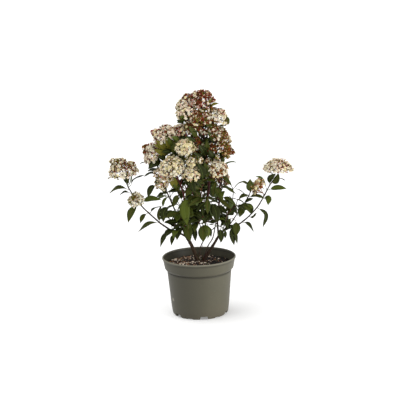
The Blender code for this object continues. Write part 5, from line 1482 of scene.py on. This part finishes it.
# Share of open flowers, shares of each petal tint and bud tint, shares of tints for the buds and bracts
# below the surface, the stalks' tint, and how many flowers there are beside the usual number.
looks = {
    "crimsonBuds": (0.10, (6, 1, 5, 2, 0), (5, 1, 7, 1, 3, 0), (3, 0, 6, 0, 5, 0), 0, 1.00),
    "russet": (0.05, (6, 2, 3, 1, 0), (3, 0, 8, 2, 4, 0), (2, 0, 6, 1, 6, 0), 0, 1.00),
    "dotted": (0.20, (8, 1, 4, 0, 0), (3, 0, 7, 2, 6, 0), (2, 0, 5, 1, 8, 0), 0, 0.95),
    "pinkBuds": (0.20, (2, 0, 4, 5, 0), (5, 6, 1, 0, 0, 1), (3, 1, 3, 0, 1, 0), 0, 1.00),
    "whitePink": (0.80, (9, 2, 5, 1, 0), (2, 2, 4, 0, 1, 0), (1, 0, 4, 1, 4, 0), 0, 0.95),
    "halfWhite": (0.47, (9, 2, 4, 1, 0), (2, 0, 6, 1, 5, 0), (1, 0, 4, 1, 8, 0), 0, 0.95),
    "mixed": (0.24, (8, 2, 4, 1, 0), (2, 0, 7, 1, 6, 0), (1, 0, 4, 1, 9, 0), 0, 0.90),
    "orangeBuds": (0.05, (6, 2, 2, 0, 1), (2, 0, 8, 4, 5, 0), (0, 0, 5, 2, 8, 0), 0, 1.05),
    "brownBuds": (0.04, (6, 2, 2, 0, 1), (3, 0, 8, 2, 3, 0), (1, 0, 7, 1, 4, 0), 0, 1.00),
    "pinkBrown": (0.82, (8, 1, 6, 1, 0), (0, 3, 4, 0, 0, 2), (0, 2, 3, 0, 2, 2), 2, 1.05),
    "creamPink": (0.74, (5, 3, 6, 1, 1), (0, 1, 2, 0, 3, 2), (0, 0, 3, 0, 7, 0), 1, 0.95),
    "cream": (0.84, (6, 7, 1, 0, 0), (0, 0, 1, 0, 4, 4), (0, 0, 1, 0, 5, 3), 1, 1.00),
    "creamDense": (1.00, (6, 9, 0, 0, 0), (0, 0, 0, 0, 2, 3), (0, 0, 0, 0, 5, 4), 1, 1.25),
    "whiteOrange": (0.74, (10, 3, 1, 0, 0), (0, 0, 4, 6, 2, 2), (0, 0, 4, 4, 2, 2), 2, 1.00),
    "open": (0.60, (11, 2, 2, 0, 0), (0, 1, 2, 0, 8, 1), (2, 0, 2, 0, 8, 0), 0, 0.75),
    "pale": (0.62, (10, 3, 0, 0, 0), (0, 0, 1, 0, 8, 1), (0, 0, 1, 0, 8, 1), 1, 1.00),
    "umbrella": (0.84, (13, 1, 1, 0, 0), (0, 2, 0, 0, 2, 4), (0, 1, 1, 0, 5, 2), 0, 0.85),
    "peach": (0.66, (2, 10, 1, 0, 3), (0, 0, 1, 3, 3, 2), (0, 0, 2, 3, 4, 0), 2, 1.00),
}


def turnPoint(radius, angleDeg, height):
    angle = math.radians(angleDeg)
    return (radius * math.cos(angle), radius * math.sin(angle), height)


# A corolla of five round lobes on a short tube, facing up Z. Kinds: petal, back, throat. Each lobe has
# four points on its edge: share of the radius, degrees from its middle, and height.
def corollaShape():
    radius = bloom["petalRadius"]
    lobe = ((0.74, -27, 0.00035), (1.0, -11, 0.0), (1.0, 11, 0.0), (0.74, 27, 0.00035))
    points = [turnPoint(radius * 0.28, 72 * i - 36, 0.0) for i in range(5)]
    throat, foot = 5, 6
    points += [(0, 0, -0.0006), (0, 0, -bloom["tubeDepth"])]
    faces, kinds = [], []
    for i in range(5):
        start = len(points)
        points += [turnPoint(radius * share, 72 * i + angle, height) for share, angle, height in lobe]
        outline = (i, *range(start, start + 4), (i + 1) % 5)
        faces += [outline, (throat, outline[0], outline[-1])]
        faces += [(b, a, foot) for a, b in zip(outline, outline[1:])]
        kinds += [0, 2, 1, 1, 1, 1, 1]
    return points, faces, kinds


# Five stamens that stand out of a corolla, each a thread that thickens into its anther.
def stamenShape():
    points, faces, kinds = [], [], []
    for i in range(5):
        out = Vector(turnPoint(1, 72 * i + 36, 0))
        foot = len(points)
        points += [out * 0.0005 + Vector((0, 0, -0.0005)), out * 0.0018 + Vector((0, 0, 0.0025))]
        points += [
            out * 0.0016 + Vector(turnPoint(1, 120 * k, 0)) * 0.00034 + Vector((0, 0, 0.0017))
            for k in range(3)
        ]
        for a, b in ((foot + 2 + k, foot + 2 + (k + 1) % 3) for k in range(3)):
            faces += [(foot, b, a), (foot + 1, a, b)]
            kinds += [0, 1]
    return [tuple(point) for point in points], faces, kinds


# A pear-shaped bud, facing up Z. Kinds: body, tip.
def budShape():
    points = [
        turnPoint(radius, 72 * k, height)
        for radius, height in ((0.00095, 0.0008), (0.00110, 0.0020)) for k in range(5)
    ]
    foot, tip = 10, 11
    points += [(0, 0, 0), (0, 0, 0.0032)]
    faces, kinds = [], []
    for k in range(5):
        j = (k + 1) % 5
        faces += [(k, j, j + 5, k + 5), (j, k, foot), (k + 5, j + 5, tip)]
        kinds += [0, 0, 1]
    return points, faces, kinds


# The place and turn of something that stands at a point and faces a direction.
def standing(point, direction, spin, size):
    turn = direction.to_track_quat("Z", "Y").to_matrix() @ Matrix.Rotation(spin, 3, "Z")
    return [[*(turn[r][c] * size for c in range(3)), point[r]] for r in range(3)]


# What all the flower heads add to: where each flower and bud stands with the tints of its kinds, and
# the stalks that carry them.
class Garland:
    def __init__(self, stalks):
        self.stalks = stalks
        self.flowers, self.buds = [], []

    def addHead(self, cyme, chance):
        openShare, petals, buds, inner, stalkTint, full = looks[cyme["look"]]
        centre, axis, radius, spread = cyme["centre"], cyme["axis"], cyme["radius"], cyme["spread"]
        top = cyme["top"]
        clusters = [(self.addRay(centre + axis * bloom["topFork"], top, axis, stalkTint), top)]
        thick, thin, _ = bloom["rayRadii"]
        calmTilt, calm = bloom["calmTop"]
        for fork, spots in cyme["rays"]:
            middle = (fork + centre) / 2 + axis * bloom["rayArc"]
            path = smoothPath([centre - axis * bloom["hubSunk"], middle, fork], 2)
            self.stalks.add(*tube(path, [thick] + [thin] * (len(path) - 1), 5), stalkTint)
            clusters += [(self.addRay(fork, spot, axis, stalkTint), spot) for spot in spots]
        # how many of each cluster's flowers are open
        opens = [openShare + bloom["patchy"] * (chance.random() - 0.5) for _ in clusters]
        dome = math.tau * radius**2 * (1 - math.cos(spread))
        count = round(full * dome / (bloom["packing"] * bloom["spacing"] ** 2))
        across = axis.orthogonal().normalized()
        other = axis.cross(across)
        shift = Vector((chance.uniform(0, 50), 0, 0))
        for j in range(count + round(count * bloom["innerBuds"])):
            below = j >= count
            share = (j + 0.5) / count if not below else chance.random()
            tilt = math.acos(1 - share * (1 - math.cos(spread)))
            angle = bloom["spiral"] * j + chance.uniform(-bloom["shuffle"], bloom["shuffle"])
            flat = around(across, other, angle)
            out = math.sin(tilt) * flat + math.cos(tilt) * axis
            hollow = 0.5 + noise.noise(out * bloom["dipEvery"] + shift)
            dip = bloom["inward"] * hollow * (1.0 if tilt > calmTilt else calm)
            reach = chance.uniform(*bloom["innerReach"]) if below else 1 - max(0.0, dip)
            reach *= radius + chance.uniform(*bloom["uneven"])
            point = centre + reach * (math.sin(tilt) * flat + growth["flatness"] * math.cos(tilt) * axis)
            nearest = min(range(len(clusters)), key=lambda n: (clusters[n][1] - point).length_squared)
            knot, spot = clusters[nearest]
            if not below:
                point = point.lerp(spot, bloom["gather"] * (bloom["gatherFrom"] - openShare))
            askew = Vector([chance.uniform(-bloom["askew"], bloom["askew"]) for _ in range(3)])
            facing = (out + axis * bloom["upward"] + askew).normalized()
            if below:
                self.addBud(point, facing, knot, inner, bloom["innerSize"], stalkTint, chance)
            elif chance.random() < opens[nearest]:
                self.addFlower(point, facing, knot, petals, stalkTint, chance)
            else:
                beside = facing.orthogonal().normalized() * bloom["budsApart"] / 2
                beside.rotate(Matrix.Rotation(chance.uniform(0, math.tau), 3, facing))
                for k in range(bloom["budsTogether"]):
                    lower = facing * chance.uniform(0.0, bloom["budsLower"])
                    place = point + beside * (1 - 2 * k) - lower
                    self.addBud(place, facing, knot, buds, bloom["budSize"], stalkTint, chance)

    # A branch of a ray, up to the knot that a cluster's stalks leave.
    def addRay(self, fork, spot, axis, stalkTint):
        heading = (spot - fork).normalized()
        length = min(bloom["stalkLength"], (spot - fork).length * bloom["longestStalk"])
        knot = spot - heading * length
        path = smoothPath([fork, fork.lerp(knot, 0.5) + axis * bloom["branchArc"], knot], 2)
        self.stalks.add(*tube(path, [bloom["rayRadii"][2]] * len(path), 4), stalkTint)
        return knot

    def addFlower(self, point, facing, knot, tints, stalkTint, chance):
        tint = chance.choices(range(len(tints)), tints)[0]
        spin, size = chance.uniform(0, math.tau), varied(chance, bloom["sizeSpread"])
        back = len(petalTints) + (0 if tint in (0, 1) else 1)
        row = (tint, back, len(petalTints) + 2)
        self.flowers.append((standing(point, facing, spin, size), row))
        self.addStalk(knot, point - facing * bloom["tubeDepth"] * size, facing, stalkTint)

    def addBud(self, point, facing, knot, tints, size, stalkTint, chance):
        tint = chance.choices(range(len(tints)), tints)[0]
        size *= chance.uniform(*bloom["budSizes"])
        foot = point - facing * bloom["tubeDepth"] * size
        place = standing(foot, facing, chance.uniform(0, math.tau), size)
        tip = len(budTints) - 1 if chance.random() < bloom["paleTips"] else tint
        self.buds.append((place, (tint, tip)))
        self.addStalk(knot, foot, facing, stalkTint)

    # A slim stalk that swells below its flower, closed to a point at both ends.
    def addStalk(self, knot, below, facing, stalkTint):
        side = facing.orthogonal().normalized()
        other = facing.cross(side)
        foot = below - facing * bloom["swellBelow"]
        points = [knot, below + facing * bloom["stalkTip"]]
        for angle in (0.0, math.tau / 3, 2 * math.tau / 3):
            points.append(foot + bloom["stalkSwell"] * around(side, other, angle))
        faces = []
        for a, b in ((2, 3), (3, 4), (4, 2)):
            faces += [(0, b, a), (a, b, 1)]
        self.stalks.add(points, faces, stalkTint)


twigs = {
    "sides": 8,
    "spacing": 0.004,
    "knotSwell": 0.35,
    "knotHalf": 0.0022,
    "uneven": 0.08,
    "sideRadius": 0.0008,
    "longestStalk": 0.014,  # a leaf further than this from the wood gets a twig of its own
    "climb": 0.4,  # how steeply a twig has to rise from the wood
    "arc": 0.30,  # how far a twig keeps on from the wood before it turns to its tip
    "taper": 0.35,
    "headRadius": 0.0011,
    "headReach": 1.2,  # how long the twig of a side head is, beside the head's radius
    "leafyRadius": 1.0,
    "leafyRise": 0.006,
    "leafyLength": 1.08,
    "upperAbove": 0.38,  # from this height on, leafy twigs have the upper leaves' colours
    "backFrom": 0.01,  # a leafy twig whose tip is behind this depth turns its leaves to the back
    "boxMargin": 0.002,  # leaves end this far inside the box round the solids
    "footTaper": 0.4,
    "footMiddle": 0.55,
    "footBow": 0.18,
}
# how the leaves of a spray are coloured: shares of deep, green, bright and young
leafShares = {"skirt": (5, 5, 2, 0), "lower": (4, 6, 3, 0), "upper": (3, 5, 3, 2)}
# each spray's leaf shares and its bark: brown, red or olive
sprayLooks = {
    "far_left_spray": ("lower", 0), "left_spray": ("lower", 0), "upper_left_spray": ("upper", 1),
    "centre_left_spray": ("upper", 1), "upper_right_spray": ("upper", 1), "crown_spray": ("upper", 1),
    "right_spray": ("lower", 1), "right_inner_spray": ("lower", 0), "far_right_spray": ("lower", 0),
    "back_left_spray": ("lower", 0), "back_right_spray": ("lower", 0), "back_centre_spray": ("upper", 1),
    "middle_skirt_spray": ("skirt", 1), "left_skirt_spray": ("skirt", 0),
    "centre_skirt_spray": ("skirt", 1), "right_skirt_spray": ("skirt", 0),
    "back_skirt_spray": ("skirt", 0),
}
# sprays whose leaves are all single ones
bareSprays = ("far_left_spray", "far_right_spray")


# Whether a point hides one of the openings from the front.
def inOpening(point):
    x = 1000 * point.x
    z = 1000 * (point.z + (point.y - openingDepth) * math.tan(math.radians(view["lookDownDeg"])))
    places = openings + frontOpenings if point.y < frontDepth else openings
    return any((x - middle) ** 2 + (z - high) ** 2 < radius**2 for middle, high, radius in places)


def blossomFinishes(tints, specular=0.5, relief=0.0):
    return [plainFinish(name, tint, 0.6, relief, specular=specular) for name, tint in tints.items()]


# The shrub as it grows: heaps of twigs and leaves, the flowers, and all the wood that a twig can leave.
class Shrub:
    def __init__(self):
        twigBarks = [makeBarkFinish(name) for name in ("twigBrown", "twigRed", "twigOlive")]
        self.twigs = Heap("twigs", twigBarks)
        finishes = [plainFinish(name, *values) for name, values in leaf["finishes"].items()]
        self.leaves = Heap("leaves", finishes)
        self.garland = Garland(Heap("flower_stalks", blossomFinishes(stalkTints, 0.15, 0.0002)))
        self.wood = []
        for points, _, tip in limbs.values():
            self.remember(evenPath(points, twigs["spacing"])[0], tip)

    def remember(self, path, radius):
        for a, b in zip(path, path[1:]):
            self.wood.append((a, (b - a).normalized(), radius))
        self.wood.append((path[-1], (path[-1] - path[-2]).normalized(), radius))

    # The spot on the wood that a twig of about this length leaves for the point: lower, and near.
    def nearestWood(self, point, length=0.0):
        def cost(spot):
            away = (spot[0] - point).length
            return abs(away - length) + max(0.0, spot[0].z - point.z + twigs["climb"] * away)
        return min(self.wood, key=cost)

    def addTwig(self, path, radii, kind, knots=()):
        def relief(point, i):
            near = min(((path[i] - knot).length for knot in knots), default=1.0)
            swell = twigs["knotSwell"] * math.exp(-((near / twigs["knotHalf"]) ** 2))
            return 1.0 + swell + twigs["uneven"] * noise.noise(point * 500)
        self.twigs.add(*tube(path, radii, twigs["sides"], relief), kind)
        self.remember(path, radii[-1])

    def addShoot(self, made, kind):
        path, distances = evenPath(made["path"], twigs["spacing"])
        radii = [made["radius"] * (1 - growth["taper"] * s / distances[-1]) for s in distances]
        self.addTwig(path, radii, kind, [tries[0][0] for tries in made["leaves"]])

    # A slim twig from the wood to a point, in a low arc.
    def reachTo(self, point, length, radius, kind):
        start, heading, thick = self.nearestWood(point, length)
        away = (point - start).length
        middle = start + heading * away * twigs["arc"] + (point - start) * twigs["arc"]
        path = evenPath([start, middle, point], twigs["spacing"])[0]
        step = radius * twigs["taper"] / len(path)
        self.addTwig(path, [min(thick, radius) - step * i for i in range(len(path))], kind)
        return path

    def addSprayLeaf(self, shape, size, shares, front, chance):
        tint = chance.choices(range(4), leafShares[shares])[0]
        root, direction, length, width, droop, roll = shape
        knots, across = leafCurve(root, direction, length * size, droop)
        if any(inOpening(knot) for knot in knots[1:]):
            return
        across = turnedAcross((knots[-1] - knots[0]).normalized(), across, roll, front, leaf["faceShare"])
        petiole = length * size * leaf["petiole"]
        addLeaf(self.leaves, knots, width * size * leaf["slim"], across, petiole, tint, chance)

    def addSingleLeaf(self, row, chance):
        *points, width, share, tint = row
        root, middle, tip = (seenPoint(*p) for p in points)
        tip += (tip - middle).normalized() * leaf["tipBeyond"]
        middle.z -= leaf["hang"]
        start = self.nearestWood(root)[0]
        away = (root - start).length
        if away > twigs["longestStalk"]:
            start, away = self.reachTo(root, 0.0, twigs["sideRadius"], 0)[-1], 0.0
        knots = [start] + ([root] if away > leaf["bareRoot"] else []) + [middle, tip]
        chord = (tip - root).normalized()
        across = chord.cross(Vector((0, 0, -1))).normalized()
        across = turnedAcross(chord, across, 0.0, leaf["front"], share)
        stalkLength = away + leaf["singlePetiole"] * (tip - root).length
        addLeaf(self.leaves, knots, width / 1000, across, stalkLength, tint, chance)

    def addSideHead(self, row, chance):
        middle, radius, look, axis = row
        spec = head(look, radius, axis)
        tip = Vector(middle) / 1000 - Vector(axis).normalized() * spec["radius"] * 0.5
        path = self.reachTo(tip, spec["radius"] * twigs["headReach"], twigs["headRadius"], 1)
        beside = tip + (path[-1] - path[-2]).orthogonal()
        self.garland.addHead(growHead(spec, tip, beside, chance), chance)

    def addLeafyTwig(self, row, chance):
        tip, length, pairs, leafLength, droop = row
        tip = Vector(tip) / 1000
        start, heading, _ = self.nearestWood(tip, length / 1000)
        middle = start.lerp(tip, 0.5) + heading * twigs["leafyRise"]
        leafLength *= twigs["leafyLength"]
        spec = shoot([], twigs["leafyRadius"], pairs, chance.uniform(0, 90), 90.0, leafLength, droop)
        spec["path"] = [start, middle, tip]
        made = growShoot(spec, chance, 0.0)
        self.addShoot(made, chance.choice((0, 1, 2)))
        front = leaf["front"] if tip.y < twigs["backFrom"] else leaf["back"]
        margin = Vector([twigs["boxMargin"]] * 3)
        low, high = Vector(cadBox[0]) + margin, Vector(cadBox[1]) - margin
        for tries in made["leaves"]:
            root, direction, fullLength, _, droopAngle, _ = tries[0]
            size = 1.0
            while size > 0.5:
                end = leafCurve(root, direction, fullLength * size, droopAngle)[0][-1]
                if all(low[i] < end[i] < high[i] for i in range(3)):
                    break
                size -= 0.1
            shares = "lower" if tip.z < twigs["upperAbove"] else "upper"
            self.addSprayLeaf(tries[0], size, shares, front, chance)

    def addFootShoot(self, row):
        (x, y), tip, radius, bark = row
        foot, tip = Vector((x, y, stemFoot - 4)) / 1000, Vector(tip) / 1000
        bow = Vector((foot.x - tip.x, foot.y - tip.y, 0)) * twigs["footBow"]
        path = evenPath([foot, foot.lerp(tip, twigs["footMiddle"]) + bow, tip], twigs["spacing"])[0]
        count = len(path)
        radii = [radius / 1000 * (1 - twigs["footTaper"] * i / count) for i in range(count)]
        self.addTwig(path, radii, bark)

    # The leaves of one shoot of a spray, each grown as far as its solid's leaf.
    def addSprayLeaves(self, made, shares, front, tips, whim):
        for tries in made["leaves"]:
            if shares == "skirt" and tries[0][1].y < leafRule["skirtFront"]:
                continue
            same = [
                shape for shape in tries
                if tips.find(leafCurve(*shape[:3], shape[4])[0][-1])[2] < leafRule["sameTip"]
            ]
            size = 1.0 if same else leafRule["smallShare"]
            self.addSprayLeaf((same or tries)[0], size, shares, front, whim)


def growSprays(shrub):
    for seed, (name, shoots) in enumerate(sprays.items()):
        chance, whim = random.Random(seed), random.Random(100 + seed)
        shares, barkKind = sprayLooks[name]
        solid = frame["nodes"][name].data
        tips = KDTree(len(solid.vertices))
        for i, vertex in enumerate(solid.vertices):
            tips.insert(vertex.co, i)
        tips.balance()
        front = leaf["back"] if name.startswith("back_") else leaf["front"]
        for i, spec in enumerate(shoots):
            made = growShoot(spec, chance, growth["startGap"] if i == 0 else 0.0)
            shrub.addShoot(made, barkKind)
            if name not in bareSprays:
                shrub.addSprayLeaves(made, shares, front, tips, whim)
            if made["head"]:
                shrub.garland.addHead(made["head"], whim)


# The flowers or buds in two pieces, the lower half and the upper half.
def makeHalves(kind, shape, standingOnes, finishes):
    half = len(standingOnes) // 2
    order = sorted(range(len(standingOnes)), key=lambda n: standingOnes[n][0][2][3])
    for level, chosen in (("lower", order[:half]), ("upper", order[half:])):
        heap = Heap(kind + "_" + level, finishes)
        places, rows = zip(*(standingOnes[n] for n in chosen))
        heap.copies(shape, places, rows)
        heap.make([], "blossom")


def makeShrub():
    shrub = Shrub()
    growSprays(shrub)
    print("sprays grown along the solids")
    chance = random.Random(7)
    for row in sideHeads:
        shrub.addSideHead(row, chance)
    for row in leafyTwigs:
        shrub.addLeafyTwig(row, chance)
    for row in singleLeaves:
        shrub.addSingleLeaf(row, chance)
    for row in footShoots:
        shrub.addFootShoot(row)
    print("side twigs, heads between the large ones, and single leaves")
    garland = shrub.garland
    shrub.twigs.make([], "bark")
    shrub.leaves.make(list(sprays), "foliage")
    petals = blossomFinishes(petalTints, 0.2, 0.0002) + blossomFinishes(corollaTints)
    makeHalves("flowers", corollaShape(), garland.flowers, petals)
    stamens = Heap("stamens", [
        plainFinish("stamenThread", (236, 228, 200)), plainFinish("anther", (232, 218, 176), 0.7),
    ])
    stamens.copies(stamenShape(), [place for place, _ in garland.flowers], [(0, 1)] * len(garland.flowers))
    stamens.make([], "blossom")
    makeHalves("buds", budShape(), garland.buds, blossomFinishes(budTints, 0.15, 0.0002))
    garland.stalks.make([], "bark")
    print("open flowers", len(garland.flowers), "buds", len(garland.buds))


makeShrub()
